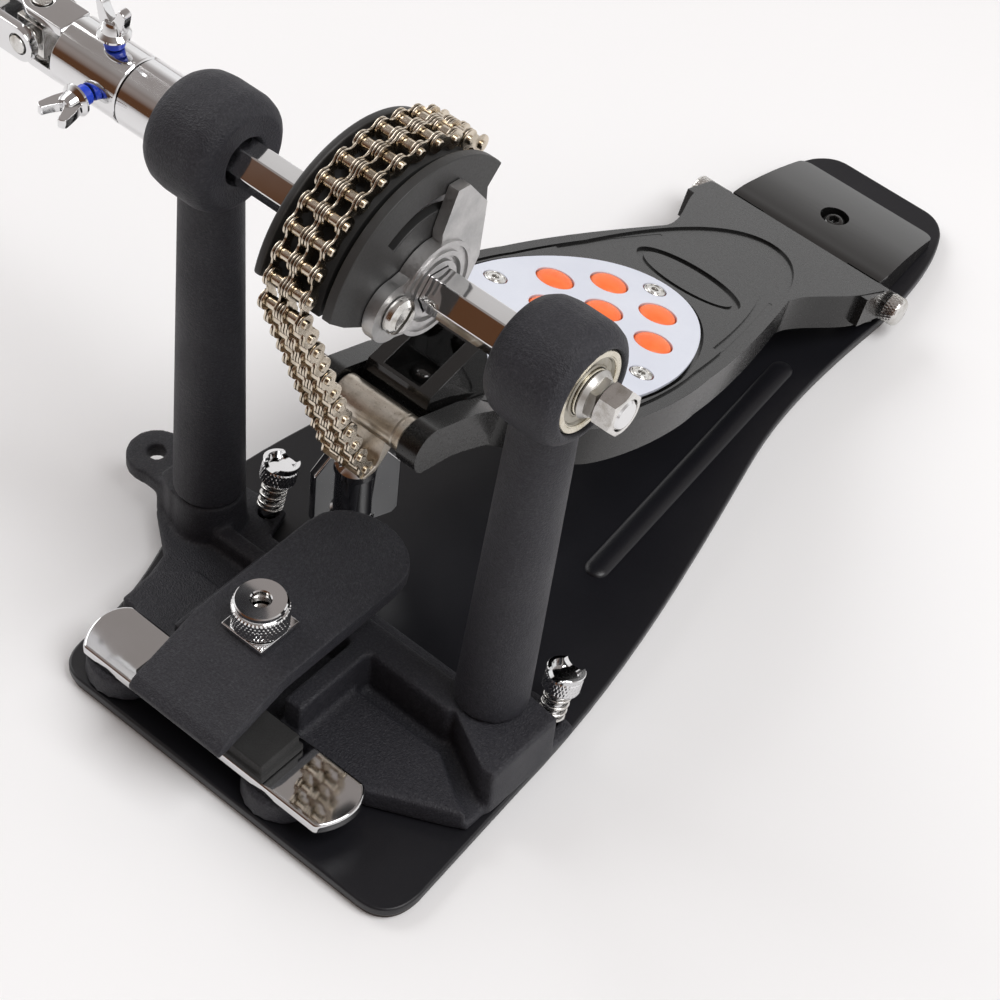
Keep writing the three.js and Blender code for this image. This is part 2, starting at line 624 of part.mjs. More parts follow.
// ---- heel plate and hinge ----
const HEEL_SCREW_Y = 218.5;
function heelPlate() {
  const side = new THREE.Shape();
  side.moveTo(198.2, CAST_Z);
  side.lineTo(237.5, CAST_Z);
  side.lineTo(238, 7);
  side.lineTo(207, 12.8);
  side.quadraticCurveTo(199.5, 14.5, 198.2, 13.2);
  const plan = new THREE.Shape();
  plan.moveTo(-16, 190);
  plan.lineTo(16, 190);
  plan.lineTo(16, 202.6);
  plan.lineTo(28, 202.6);
  plan.lineTo(28, 208);
  plan.lineTo(25.5, 235);
  plan.quadraticCurveTo(25, 238, 21, 238);
  plan.lineTo(-21, 238);
  plan.quadraticCurveTo(-25, 238, -25.5, 235);
  plan.lineTo(-28, 208);
  plan.lineTo(-28, 202.6);
  plan.lineTo(-16, 202.6);
  const body = overlap(alongX(side, -30, 30), slab(plan, 0, 30));
  const recess = rod([0, HEEL_SCREW_Y, 6.5], [0, HEEL_SCREW_Y, 20], 4.6, 4.6, 18);
  const blocks = [20, -28].map((x) => box(x, x + 8, HINGE.y - 4, 206, CAST_Z, HINGE.z + 0.4));
  const bores = [-1, 1].map((s) => rod([s * 15, HINGE.y, HINGE.z], [s * 40, HINGE.y, HINGE.z], 2.8, 2.8, 14));
  return cut(join(body, ...blocks), recess, ...bores);
}

function heelScrew() {
  const head = rod([0, HEEL_SCREW_Y, 6.8], [0, HEEL_SCREW_Y, 10.6], 3.9, 3.9, 18);
  const socket = rod([0, HEEL_SCREW_Y, 8.4], [0, HEEL_SCREW_Y, 12], 2, 2, 6);
  return cut(head, socket);
}

function pivotScrew(side) {
  const at = (x) => [side * x, HINGE.y, HINGE.z];
  return join(rod(at(34.4), at(39.4), 4.7, 4.4, 18), rod(at(22), at(35), 2.3, 2.3, 12));
}

// ---- hoop clamp ----
function hoopBar() {
  const shape = new THREE.Shape();
  shape.moveTo(-41, -61.4);
  shape.lineTo(41, -61.4);
  shape.bezierCurveTo(46, -56, 47, -47, 41, -43);
  shape.lineTo(-41, -43);
  shape.bezierCurveTo(-47, -47, -46, -56, -41, -61.4);
  return slab(shape, SHELF_TOP, 15.8);
}

const HOOP_PAD = { x: 23, y0: -61.6, y1: -46, z0: 16.1, z1: 22 };
function tongueSide() {
  const top = TONGUE_Z;
  return [
    [-69.5, top - 11], [-67, top - 11], [-45, top - 4.8], [12, top - 4.8], [12, top - 1.5], [10.5, top],
    [-45, top], [-67, top - 7.2], [-69.5, top - 9],
  ];
}

function clampTongue() {
  const plan = new THREE.Shape();
  plan.moveTo(-15.8, -72);
  plan.lineTo(15.8, -72);
  plan.lineTo(15.8, -4);
  plan.bezierCurveTo(15.8, 6, 6, 9.5, 0, 9.5);
  plan.bezierCurveTo(-6, 9.5, -15.8, 6, -15.8, -4);
  const body = overlap(alongX(tongueSide(), -20, 20), slab(plan, 10, 60));
  return cut(body, rod([0, STUD_Y, 20], [0, STUD_Y, 50], 3.9, 3.9, 16));
}

function squareWasher() {
  const half = 7;
  const z = TONGUE_Z + GAP;
  const plate = box(-half, half, STUD_Y - half, STUD_Y + half, z, z + 1.6);
  return cut(plate, rod([0, STUD_Y, 30], [0, STUD_Y, 60], 3.5, 3.5, 16));
}

const NUT_Z = TONGUE_Z + GAP + 1.6 + GAP;
function knurledNut() {
  const profile = [
    [NUT_Z, 3.4], [NUT_Z, 7.6], [NUT_Z + 5.6, 7.6], [NUT_Z + 6.2, 7], [NUT_Z + 8.2, 7],
    [NUT_Z + 8.8, 6.4], [NUT_Z + 8.8, 3.4], [NUT_Z, 3.4],
  ];
  return turnedZ(profile, 24).translate(0, STUD_Y, 0);
}

function clampStud() {
  return rod([0, STUD_Y, 8 + GAP], [0, STUD_Y, NUT_Z + 7], 3, 3, 16);
}

// Wing bolt: a round hub with two bevelled wing plates, on a stem that enters the casting's boss.
function wingBolt() {
  const hub = turnedZ([[19.5, 0], [19.5, 5.8], [41, 5.2], [42.5, 4], [42.5, 0]], 20);
  const stem = rod([0, 0, 6.6], [0, 0, 20], 3.1, 3.1, 14);
  const wing = [[3, 20], [10.5, 20], [12.3, 22], [12.3, 41], [8.2, 46.5], [5, 46.5], [3.6, 40]];
  const wings = [1, -1].map((s) => {
    const outline = shapeOf(s > 0 ? wing : wing.map(([a, b]) => [-a, b]).reverse());
    const body = new THREE.ExtrudeGeometry(outline, { depth: 3, bevelEnabled: false });
    return body.translate(0, 0, -1.5).rotateX(Math.PI / 2);
  });
  return join(hub, stem, ...wings).rotateZ(rad(45)).translate(WING.x, WING.y, 0);
}

// ---- spurs ----
function spur(tower) {
  const tip = rod(spurPoint(tower, -3.2), spurPoint(tower, -0.5), 0.8, 2.3, 12);
  const stem = rod(spurPoint(tower, -0.6), spurPoint(tower, 12), 2.3, 2.3, 12);
  const head = rod(spurPoint(tower, 10.5), spurPoint(tower, 17.5), 5, 5.4, 20);
  return cut(join(tip, stem, head), rod(spurPoint(tower, 14.8), spurPoint(tower, 20), 3.4, 3.8, 16));
}

// The spring is drawn at its closed length, so that the spur can travel down over it.
const SPRING = { from: 1.6, to: 6.4 };
function spurSpring(tower) {
  const sleeve = rod(spurPoint(tower, SPRING.from), spurPoint(tower, SPRING.to), 3.9, 3.9, 16);
  return cut(sleeve, rod(spurPoint(tower, -2), spurPoint(tower, 12), 2.7, 2.7, 16));
}

// ---- universal joint ----
const JOINT_X = -113;
const TUBE_R = 9.3;
const HOUSING_LEFT = TOWERS.left - HOUSING_LENGTH / 2;
function shaftCollar() {
  return atShaft(ringX(TUBE_R, JOURNAL_R + GAP, HOUSING_LEFT - 12.5, HOUSING_LEFT - 0.4, 24));
}

const YOKE_SCREW_X = -88;
function innerYoke() {
  const bore = ringX(JOURNAL_R + GAP, 0, -96, -70, 16);
  const sleeve = cut(ringX(TUBE_R, 0, -102, HOUSING_LEFT - 12.8, 24), bore);
  const arms = [
    box(-118, -101, -5, 5, 6.4, 9),
    box(-118, -101, -5, 5, -9, -6.4),
  ];
  const pins = rod([JOINT_X, 0, -12], [JOINT_X, 0, 12], 2.9, 2.9, 14);
  const screws = [
    rod([YOKE_SCREW_X, 0, 5], [YOKE_SCREW_X, 0, 12], 2.1, 2.1, 12),
    rod([YOKE_SCREW_X, -12, 0], [YOKE_SCREW_X, -5, 0], 2.1, 2.1, 12),
  ];
  return atShaft(cut(join(sleeve, ...arms), pins, ...screws));
}

function outerYoke() {
  const sleeve = ringX(TUBE_R, 0, -146, -124, 24);
  const arms = [
    box(-125, -108, 6.4, 9, -5, 5),
    box(-125, -108, -9, -6.4, -5, 5),
  ];
  const pins = rod([JOINT_X, -12, 0], [JOINT_X, 12, 0], 2.9, 2.9, 14);
  return atShaft(cut(join(sleeve, ...arms), pins, ringX(6, 0, -150, -128, 20)));
}

function jointCross() {
  const block = box(-4.6, 4.6, -4.6, 4.6, -4.6, 4.6);
  const pins = [rod([0, 0, -9.3], [0, 0, 9.3], 2.6, 2.6, 14), rod([0, -9.3, 0], [0, 9.3, 0], 2.6, 2.6, 14)];
  return atShaft(join(block, ...pins).translate(JOINT_X, 0, 0));
}

// Wing screw standing on the yoke, built upright and then turned into place.
function wingScrew(turn) {
  const stem = rod([0, 0, 5.2], [0, 0, 13.5], 1.7, 1.7, 12);
  const head = turnedZ([[12.6, 0], [12.6, 4.3], [15.5, 2.9], [15.5, 0]], 16);
  const wings = [1, -1].map((s) => box(s > 0 ? 1.5 : -6.6, s > 0 ? 6.6 : -1.5, -1.1, 1.1, 13.4, 22));
  const body = join(stem, head, ...wings, box(-2, 2, -1.1, 1.1, 13.4, 16));
  return atShaft(body.rotateX(turn).translate(YOKE_SCREW_X, 0, 0));
}

function nylonWasher(turn) {
  const profile = [[9.6, 2], [9.6, 3.2], [12.2, 3.2], [12.2, 2], [9.6, 2]];
  return atShaft(turnedZ(profile, 16).rotateX(turn).translate(YOKE_SCREW_X, 0, 0));
}

// ---- assembly ----
const pedal = new THREE.Group();
function piece(name, geometry, look) {
  const mesh = new THREE.Mesh(geometry, new THREE.MeshStandardMaterial(finish[look]));
  mesh.name = name;
  pedal.add(mesh);
}

piece("base_plate", basePlate(), "plate");
piece("base_rubber_sheet", rubberSheet(), "rubber");
piece("cross_casting", crossCasting(), "casting");
for (const tower of ["left", "right"]) {
  piece(`${tower}_tower`, towerCasting(tower), "casting");
  piece(`${tower}_bearing`, bearing(tower), "steel");
  piece(`${tower}_spur`, spur(tower), "chrome");
  piece(`${tower}_spur_spring`, spurSpring(tower), "steel");
}
piece("rocker_shaft", rockerShaft(), "chrome");
piece("shaft_end_spacer", endSpacer(), "chrome");
piece("shaft_end_nut", endNut(), "chrome");
piece("cam_left_flange", camFlange(-11.6, -9.4, false), "plate");
piece("cam_right_flange", camFlange(9.4, 12.1, true), "plate");
piece("cam_chain_pad", camPad(), "rubber");
piece("cam_hub", camHub(), "aluminium");
piece("cam_clamp_plate", camClamp(), "aluminium");
piece("cam_screw", camScrew(), "steel");
piece("chain_anchor", chainAnchor(), "aluminium");
piece("chain_on_cam", chainOnCam(), "nickel");
const camPins = [2, 1, 0].map((links) => camPoint(CHAIN_END - links * CHAIN_STEP));
piece("chain_link_upper", chainRun(camPins[0], camPins[1]), "nickel");
piece("chain_link_lower", chainRun(camPins[1], camPins[2]), "nickel");
piece("chain_run", chainRun(camPins[2], [CHAIN_PIN.y, CHAIN_PIN.z], 2.8, 1.4), "nickel");
piece("footboard", footboard(), "gloss");
piece("grip_mat", gripMat(), "stud");
piece("traction_plate", tractionPlate(), "traction");
plateScrewPlaces.forEach((place, i) => piece(`traction_screw_${i + 1}`, plateScrew(place), "steel"));
piece("toe_block", toeBlock(), "gloss");
piece("toe_block_screw", blockScrew(), "gloss");
piece("chain_cradle", cradle(), "nickel");
piece("cradle_bolt", cradleBolt(), "nickel");
piece("heel_plate", heelPlate(), "gloss");
piece("heel_plate_screw", heelScrew(), "plate");
piece("left_pivot_screw", pivotScrew(-1), "steel");
piece("right_pivot_screw", pivotScrew(1), "steel");
piece("hoop_bar", hoopBar(), "chrome");
piece("hoop_pad", box(-HOOP_PAD.x, HOOP_PAD.x, HOOP_PAD.y0, HOOP_PAD.y1, HOOP_PAD.z0, HOOP_PAD.z1), "rubber");
piece("clamp_tongue", clampTongue(), "casting");
piece("clamp_washer", squareWasher(), "chrome");
piece("clamp_stud", clampStud(), "steel");
piece("clamp_nut", knurledNut(), "chrome");
piece("clamp_wing_bolt", wingBolt(), "chrome");
piece("shaft_collar", shaftCollar(), "chrome");
piece("inner_yoke", innerYoke(), "chrome");
piece("outer_yoke", outerYoke(), "chrome");
piece("joint_cross", jointCross(), "steel");
piece("upper_wing_screw", wingScrew(0), "chrome");
piece("front_wing_screw", wingScrew(Math.PI / 2), "chrome");
piece("upper_nylon_washer", nylonWasher(0), "nylon");
piece("front_nylon_washer", nylonWasher(Math.PI / 2), "nylon");

export default pedal;
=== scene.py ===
import math

import bmesh
import bpy
from mathutils import Matrix, Vector


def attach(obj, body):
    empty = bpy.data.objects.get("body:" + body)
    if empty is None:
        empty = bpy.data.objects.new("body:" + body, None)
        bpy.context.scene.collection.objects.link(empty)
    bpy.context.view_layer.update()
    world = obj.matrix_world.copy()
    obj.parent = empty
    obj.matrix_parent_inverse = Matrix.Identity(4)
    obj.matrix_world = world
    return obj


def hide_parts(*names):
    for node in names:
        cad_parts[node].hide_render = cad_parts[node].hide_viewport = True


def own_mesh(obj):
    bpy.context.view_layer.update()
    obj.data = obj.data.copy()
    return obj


# Bass drum pedal, left unit of a double pedal. Pieces are modelled in millimetres, in the frame's axes,
# and scaled to metres when they are finished. Repeated sizes are the frame's own.
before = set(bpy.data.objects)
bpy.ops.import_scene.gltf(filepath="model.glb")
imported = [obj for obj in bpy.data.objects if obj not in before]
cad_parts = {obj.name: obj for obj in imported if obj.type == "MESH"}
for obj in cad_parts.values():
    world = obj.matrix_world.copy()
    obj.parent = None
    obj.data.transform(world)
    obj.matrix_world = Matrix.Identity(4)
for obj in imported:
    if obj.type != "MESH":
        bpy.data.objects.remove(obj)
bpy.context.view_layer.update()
MM = 0.001
SHAFT_Z = 142.8
TOWERS = {"left": -55.3, "right": 52.0}
HOUSING_LENGTH = 22.6
TUBE_R = 9.3
BEARING_R = 11.0
BEARING_WIDTH = 7.0
JOURNAL_R = 4.0
HEX_TURN = 9.0
PITCH = 6.35
CHAIN_R = 33.4
CAM_R = 32.6
CHAIN_STEP = 2 * math.asin(PITCH / 2 / CHAIN_R)
CHAIN_END = math.radians(172)
CHAIN_PIN = (-8.6, 79.4)
CRADLE = (2.0, 87.2)
BOLT_END = 15.7
HINGE = (198.7, 10.9)
BOARD_TILT = math.radians(20.6)
BOARD_ZERO = (96.4, 56.0)
STUD_SPACING = 17.4
STUD_R = 5.5
STUD_Y = -38.4
BLOCK_SCREW_Y = 19.55
BLOCK_SCREW_RISE = 2.42
WING = (-19.0, 18.0)
CAM_SCREW = (-13.2, 0.9)
JOINT_X = -113.0
YOKE_SCREW_X = -88.0


# ---- making and changing meshes ----
def made(points, faces):
    mesh = bpy.data.meshes.new("work")
    mesh.from_pydata([tuple(p) for p in points], [], [tuple(f) for f in faces])
    obj = bpy.data.objects.new("work", mesh)
    bpy.context.scene.collection.objects.link(obj)
    outward(obj)
    return obj


def outward(obj):
    work = bmesh.new()
    work.from_mesh(obj.data)
    bmesh.ops.recalc_face_normals(work, faces=work.faces)
    work.to_mesh(obj.data)
    work.free()


def settled(obj):
    """Makes the object's modifiers part of its mesh."""
    graph = bpy.context.evaluated_depsgraph_get()
    mesh = bpy.data.meshes.new_from_object(obj.evaluated_get(graph))
    obj.modifiers.clear()
    obj.data = mesh
    return obj


def moved(obj, matrix):
    obj.data.transform(matrix)
    return obj


def shift(obj, x, y, z):
    return moved(obj, Matrix.Translation((x, y, z)))


def turned_about(obj, degrees, axis, at=(0, 0, 0)):
    centre = Matrix.Translation(at)
    return moved(obj, centre @ Matrix.Rotation(math.radians(degrees), 4, axis) @ centre.inverted())


def boolean(obj, tools, how):
    for tool in tools:
        step = obj.modifiers.new("step", "BOOLEAN")
        step.operation = how
        step.object = tool
        step.solver = "EXACT"
    settled(obj)
    for tool in tools:
        bpy.data.objects.remove(tool)
    return obj


def joined(obj, *tools):
    return boolean(obj, tools, "UNION")


def cut(obj, *tools):
    return boolean(obj, tools, "DIFFERENCE")


def common(obj, *tools):
    return boolean(obj, tools, "INTERSECT")


def gathered(*objs):
    """One object of several closed bodies, left as they are."""
    work = bmesh.new()
    for obj in objs:
        work.from_mesh(obj.data)
        bpy.data.objects.remove(obj)
    mesh = bpy.data.meshes.new("work")
    work.to_mesh(mesh)
    work.free()
    obj = bpy.data.objects.new("work", mesh)
    bpy.context.scene.collection.objects.link(obj)
    return obj


def eased(obj, width, segments=2, angle=30):
    """Rounds every edge sharper than the angle."""
    work = bmesh.new()
    work.from_mesh(obj.data)
    bmesh.ops.remove_doubles(work, verts=work.verts, dist=0.005)
    bmesh.ops.dissolve_limit(work, angle_limit=math.radians(0.6), verts=work.verts, edges=work.edges)
    work.to_mesh(obj.data)
    work.free()
    step = obj.modifiers.new("edge", "BEVEL")
    step.width = width
    step.segments = segments
    step.limit_method = "ANGLE"
    step.angle_limit = math.radians(angle)
    step.harden_normals = False
    return settled(obj)


def cast(obj, voxel, passes):
    """The soft edges and fillets of a sand casting: remeshed finely, then smoothed."""
    step = obj.modifiers.new("grid", "REMESH")
    step.mode = "VOXEL"
    step.voxel_size = voxel
    step = obj.modifiers.new("soften", "SMOOTH")
    step.factor = 0.5
    step.iterations = passes
    return settled(obj)


def node_copy(*names):
    """CAD nodes' meshes as one new object, in millimetres."""
    copies = []
    for name in names:
        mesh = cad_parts[name].data.copy()
        mesh.transform(Matrix.Scale(1 / MM, 4))
        obj = bpy.data.objects.new("work", mesh)
        bpy.context.scene.collection.objects.link(obj)
        work = bmesh.new()
        work.from_mesh(mesh)
        bmesh.ops.remove_doubles(work, verts=work.verts, dist=0.002)
        work.to_mesh(mesh)
        work.free()
        copies.append(obj)
    return copies[0] if len(copies) == 1 else gathered(*copies)


# ---- shapes ----
UPRIGHT = Matrix.Identity(4)
ALONG_X = Matrix(((0, 0, 1, 0), (1, 0, 0, 0), (0, 1, 0, 0), (0, 0, 0, 1)))
AT_SHAFT = Matrix.Translation((0, 0, SHAFT_Z))


def facing(at, direction):
    """Turns local Z to the direction and puts it at the point."""
    turn = Vector(direction).to_track_quat("Z", "Y").to_matrix().to_4x4()
    return Matrix.Translation(at) @ turn


def turned(profile, sides=64, place=UPRIGHT):
    """A solid of revolution about local Z from (height, radius) pairs; a closed ring if the ends meet."""
    ring = profile[0] == profile[-1]
    rows = profile[:-1] if ring else profile
    points, loops, faces = [], [], []
    for height, radius in rows:
        count = 1 if radius == 0 else sides
        loops.append(range(len(points), len(points) + count))
        for i in range(count):
            angle = 2 * math.pi * i / sides
            points.append((radius * math.cos(angle), radius * math.sin(angle), height))
    pairs = list(zip(loops, loops[1:]))
    if ring:
        pairs.append((loops[-1], loops[0]))
    for low, high in pairs:
        for i in range(sides):
            j = (i + 1) % sides
            quad = [low[i % len(low)], low[j % len(low)], high[j % len(high)], high[i % len(high)]]
            face = list(dict.fromkeys(quad))
            if len(face) > 2:
                faces.append(face)
    return moved(made(points, faces), place)


def turned_x(profile, sides=64, at=(0, 0)):
    return turned(profile, sides, Matrix.Translation((0, at[0], at[1])) @ ALONG_X)


def prism(outline, low, high, place=UPRIGHT):
    count = len(outline)
    points = [(x, y, z) for z in (low, high) for x, y in outline]
    faces = [range(count)[::-1], range(count, 2 * count)]
    for i in range(count):
        j = (i + 1) % count
        faces.append((i, j, j + count, i + count))
    return moved(made(points, faces), place)


def prism_x(outline, low, high):
    """A prism on a YZ outline."""
    return prism(outline, low, high, ALONG_X)


def block(x0, x1, y0, y1, z0, z1):
    return prism([(x0, y0), (x1, y0), (x1, y1), (x0, y1)], z0, z1)


def rod(start, end, radius, sides=32):
    a, b = Vector(start), Vector(end)
    length = (b - a).length
    profile = [(0, 0), (0, radius), (length, radius), (length, 0)]
    return turned(profile, sides, facing(a, b - a))


def arc(centre, radius, start, end, steps=12):
    points = []
    for i in range(steps + 1):
        angle = math.radians(start + (end - start) * i / steps)
        points.append((centre[0] + radius * math.cos(angle), centre[1] + radius * math.sin(angle)))
    return points


def drawn(start, *moves, steps=14):
    """An outline from lines (one point), quadratic (two) and cubic (three) curves."""
    points = [start]
    for move in moves:
        hull = [points[-1], *move]
        if len(hull) == 2:
            points.append(hull[1])
            continue
        for i in range(1, steps + 1):
            t, row = i / steps, hull
            while len(row) > 1:
                row = [(a[0] + (b[0] - a[0]) * t, a[1] + (b[1] - a[1]) * t) for a, b in zip(row, row[1:])]
            points.append(row[0])
    return points


def polygon(count, across_flats, turn=0.0):
    corner = across_flats / 2 / math.cos(math.pi / count)
    return [
        (corner * math.cos(2 * math.pi * i / count + turn), corner * math.sin(2 * math.pi * i / count + turn))
        for i in range(count)
    ]


def hex_nut(across, x0, x1, turn, bore, at=(0.0, SHAFT_Z)):
    """A chamfered hexagon along X, with a bore if it has one."""
    body = prism_x(polygon(6, across, math.radians(turn)), x0, x1)
    corner = across / math.sqrt(3)
    ease = corner - across / 2 * 0.97
    tilt = ease * 0.55
    barrel = turned_x([(x0, 0), (x0, corner - ease), (x0 + tilt, corner + 0.05), (x1 - tilt, corner + 0.05),
                       (x1, corner - ease), (x1, 0)])
    body = common(body, barrel)
    if bore:
        body = cut(body, turned_x([(x0 - 1, 0), (x0 - 1, bore), (x1 + 2, bore), (x1 + 2, 0)], 40))
    return shift(body, 0, at[0], at[1])


def knurled(radius, low, high, depth, count, place):
    """A band of diamond knurling: two crossing sets of ridges on a cylinder."""
    rise = 0.5
    sides = count * 4
    rows = max(6, round((high - low) / 0.35))
    points, faces = [], []
    for row in range(rows + 1):
        height = low + (high - low) * row / rows
        for i in range(sides):
            angle = 2 * math.pi * i / sides
            lean = 2 * math.pi * (height - low) / (2 * math.pi * radius / count) * rise
            ridge = max(math.cos(count * angle + lean), math.cos(count * angle - lean))
            edge = 0.0 if row in (0, rows) else 1.0
            reach = radius - depth + depth * edge * (0.5 + 0.5 * ridge)
            points.append((reach * math.cos(angle), reach * math.sin(angle), height))
    for row in range(rows):
        for i in range(sides):
            j = (i + 1) % sides
            a, b = row * sides, (row + 1) * sides
            faces.append((a + i, a + j, b + j, b + i))
    faces.append(range(sides)[::-1])
    faces.append(range(rows * sides, (rows + 1) * sides))
    return moved(made(points, faces), place)


def coil(radius, wire, start, end, turns):
    """A spring of round wire between two points, with closed ends."""
    sides = 10
    closed = 0.7
    a, b = Vector(start), Vector(end)
    place = facing(a, b - a)
    length = (b - a).length
    steps = int(turns * 24)
    points, faces = [], []
    for i in range(steps + 1):
        t = i / steps
        angle = 2 * math.pi * turns * t
        lift = wire + (length - 2 * wire) * min(max((t * turns - closed) / (turns - 2 * closed), 0), 1)
        lift += wire * 0.5 * (min(t * turns, closed) / closed - 1)
        lift -= wire * 0.5 * (min((1 - t) * turns, closed) / closed - 1)
        for k in range(sides):
            around = 2 * math.pi * k / sides
            reach = radius + wire * math.cos(around)
            points.append((reach * math.cos(angle), reach * math.sin(angle), lift + wire * math.sin(around)))
    for i in range(steps):
        for k in range(sides):
            j = (k + 1) % sides
            faces.append((i * sides + k, i * sides + j, (i + 1) * sides + j, (i + 1) * sides + k))
    faces.append(range(sides))
    faces.append(range(steps * sides, (steps + 1) * sides)[::-1])
    return moved(made(points, faces), place)


# ---- materials ----
class Look:
    """A Principled material with helpers for its nodes, in object coordinates."""

    def __init__(self, name, metallic=0.0, roughness=0.5, **sockets):
        self.material = bpy.data.materials.new(name)
        self.material.use_nodes = True
        self.tree = self.material.node_tree
        self.shader = self.tree.nodes["Principled BSDF"]
        self.shader.inputs["Metallic"].default_value = metallic
        self.shader.inputs["Roughness"].default_value = roughness
        for key, value in sockets.items():
            self.shader.inputs[key.replace("_", " ")].default_value = value
        self.place = self.tree.nodes.new("ShaderNodeTexCoord").outputs["Object"]

    def node(self, kind, **values):
        made_node = self.tree.nodes.new(kind)
        for key, value in values.items():
            made_node.inputs[key].default_value = value
        return made_node

    def link(self, start, end):
        self.tree.links.new(start, end)

    def noise(self, scale, detail=3.0, rough=0.55, stretch=None):
        found = self.node("ShaderNodeTexNoise", Scale=scale, Detail=detail, Roughness=rough)
        place = self.place
        if stretch:
            mapping = self.node("ShaderNodeMapping")
            mapping.inputs["Scale"].default_value = stretch
            self.link(place, mapping.inputs["Vector"])
            place = mapping.outputs["Vector"]
        self.link(place, found.inputs["Vector"])
        return found.outputs["Fac"]

    def cells(self, scale):
        found = self.node("ShaderNodeTexVoronoi", Scale=scale)
        self.link(self.place, found.inputs["Vector"])
        return found.outputs["Distance"]

    def ramp(self, source, *stops):
        found = self.tree.nodes.new("ShaderNodeValToRGB")
        band = found.color_ramp
        while len(band.elements) < len(stops):
            band.elements.new(0.5)
        for element, (place, colour) in zip(band.elements, stops):
            element.position = place
            element.color = (*colour, 1) if len(colour) == 3 else colour
        self.link(source, found.inputs["Fac"])
        return found.outputs["Color"]

    def spread(self, source, low, high):
        """Spreads the middle of a noise's range over low to high."""
        start, end = 0.3, 0.7
        found = self.node("ShaderNodeMapRange")
        for key, value in zip(("From Min", "From Max", "To Min", "To Max"), (start, end, low, high)):
            found.inputs[key].default_value = value
        self.link(source, found.inputs["Value"])
        return found.outputs["Result"]

    def sum(self, a, b):
        found = self.tree.nodes.new("ShaderNodeMath")
        found.operation = "ADD"
        self.link(a, found.inputs[0])
        self.link(b, found.inputs[1])
        return found.outputs[0]

    def colour(self, source):
        self.link(source, self.shader.inputs["Base Color"])

    def rough(self, source):
        self.link(source, self.shader.inputs["Roughness"])

    def bump(self, height, distance, strength=1.0):
        found = self.node("ShaderNodeBump", Strength=strength, Distance=distance)
        self.link(height, found.inputs["Height"])
        self.link(found.outputs["Normal"], self.shader.inputs["Normal"])


def grey(value, warm=0.0, cool=0.0):
    return (value * (1 + warm), value * (1 + warm * 0.3), value * (1 + cool))


def powder_coat():
    look = Look("powder_coat", 0.0, 0.5, Specular_IOR_Level=0.35)
    grain = look.noise(1500, 4, 0.6)
    pores = look.cells(2300)
    patch = look.noise(60, 3)
    tones = ((0.3, grey(0.013, cool=0.32)), (0.55, grey(0.024, cool=0.26)), (0.8, grey(0.052, cool=0.1)))
    look.colour(look.ramp(grain, *tones))
    look.rough(look.spread(patch, 0.5, 0.64))
    look.bump(look.sum(grain, pores), 0.00016, 0.8)
    return look.material


def base_paint():
    look = Look("satin_black_paint", 0.0, 0.4, Specular_IOR_Level=0.4)
    peel = look.noise(420, 2, 0.5)
    dust = look.noise(3200, 2, 0.7)
    cloud = look.noise(22, 3)
    tones = ((0.35, grey(0.007, cool=0.35)), (0.68, grey(0.01, cool=0.3)), (0.82, grey(0.025)))
    look.colour(look.ramp(dust, *tones))
    look.rough(look.spread(cloud, 0.3, 0.42))
    look.bump(look.sum(peel, dust), 0.00004, 0.5)
    return look.material


def gloss_black(name="gloss_black_paint", tone=0.007, low=0.2, high=0.3, coat=0.05):
    look = Look(name, 0.0, 0.2, Coat_Weight=coat, Coat_Roughness=0.06, Specular_IOR_Level=0.45)
    peel = look.noise(260, 2, 0.5)
    cloud = look.noise(45, 3)
    fine = look.noise(1800, 2)
    look.colour(look.ramp(cloud, (0.3, grey(tone)), (0.7, grey(tone * 1.35, warm=0.03))))
    look.rough(look.spread(fine, low, high))
    look.bump(peel, 0.00003, 0.35)
    return look.material


def rubber(name="rubber", tone=0.022, warm=0.0):
    look = Look(name, 0.0, 0.8, Specular_IOR_Level=0.3)
    grain = look.noise(1900, 4, 0.6)
    cloud = look.noise(70, 3)
    look.colour(look.ramp(cloud, (0.3, grey(tone, warm)), (0.75, grey(tone * 1.6, warm))))
    look.rough(look.spread(grain, 0.62, 0.85))
    look.bump(grain, 0.00006, 0.7)
    return look.material


def chrome(name="chrome", tone=0.78, low=0.04, high=0.11):
    look = Look(name, 1.0, 0.06)
    smudge = look.noise(55, 4)
    wave = look.noise(130, 2)
    look.colour(look.ramp(smudge, (0.3, grey(tone * 0.94)), (0.7, grey(tone, cool=0.015))))
    look.rough(look.spread(smudge, low, high))
    look.bump(wave, 0.00002, 0.3)
    return look.material


def plated(name, tone, warm, low, high, grime=0.45):
    look = Look(name, 1.0, 0.3)
    cloud = look.noise(240, 4, 0.6)
    fine = look.noise(2600, 3, 0.6)
    dark = (tone[0] * grime, tone[1] * grime * 0.95, tone[2] * grime * 0.86)
    look.colour(look.ramp(cloud, (0.28, dark), (0.5, tone), (0.75, tuple(min(1, c * 1.12) for c in tone))))
    look.rough(look.spread(fine, low, high))
    look.bump(fine, 0.00003, warm)
    return look.material


def cast_aluminium():
    look = Look("cast_aluminium", 1.0, 0.42)
    grain = look.noise(1300, 4, 0.65)
    cloud = look.noise(120, 3)
    look.colour(look.ramp(cloud, (0.3, grey(0.42)), (0.7, grey(0.6, warm=0.02))))
    look.rough(look.spread(grain, 0.34, 0.52))
    look.bump(grain, 0.00009, 0.6)
    return look.material


def traction_paint():
    look = Look("pale_satin_plate", 0.35, 0.4, Specular_IOR_Level=0.5)
    cloud = look.noise(40, 3)
    fine = look.noise(1500, 3, 0.6)
    look.colour(look.ramp(cloud, (0.3, (0.66, 0.69, 0.78)), (0.7, (0.72, 0.75, 0.83))))
    look.rough(look.spread(fine, 0.3, 0.42))
    look.bump(fine, 0.00002, 0.35)
    return look.material


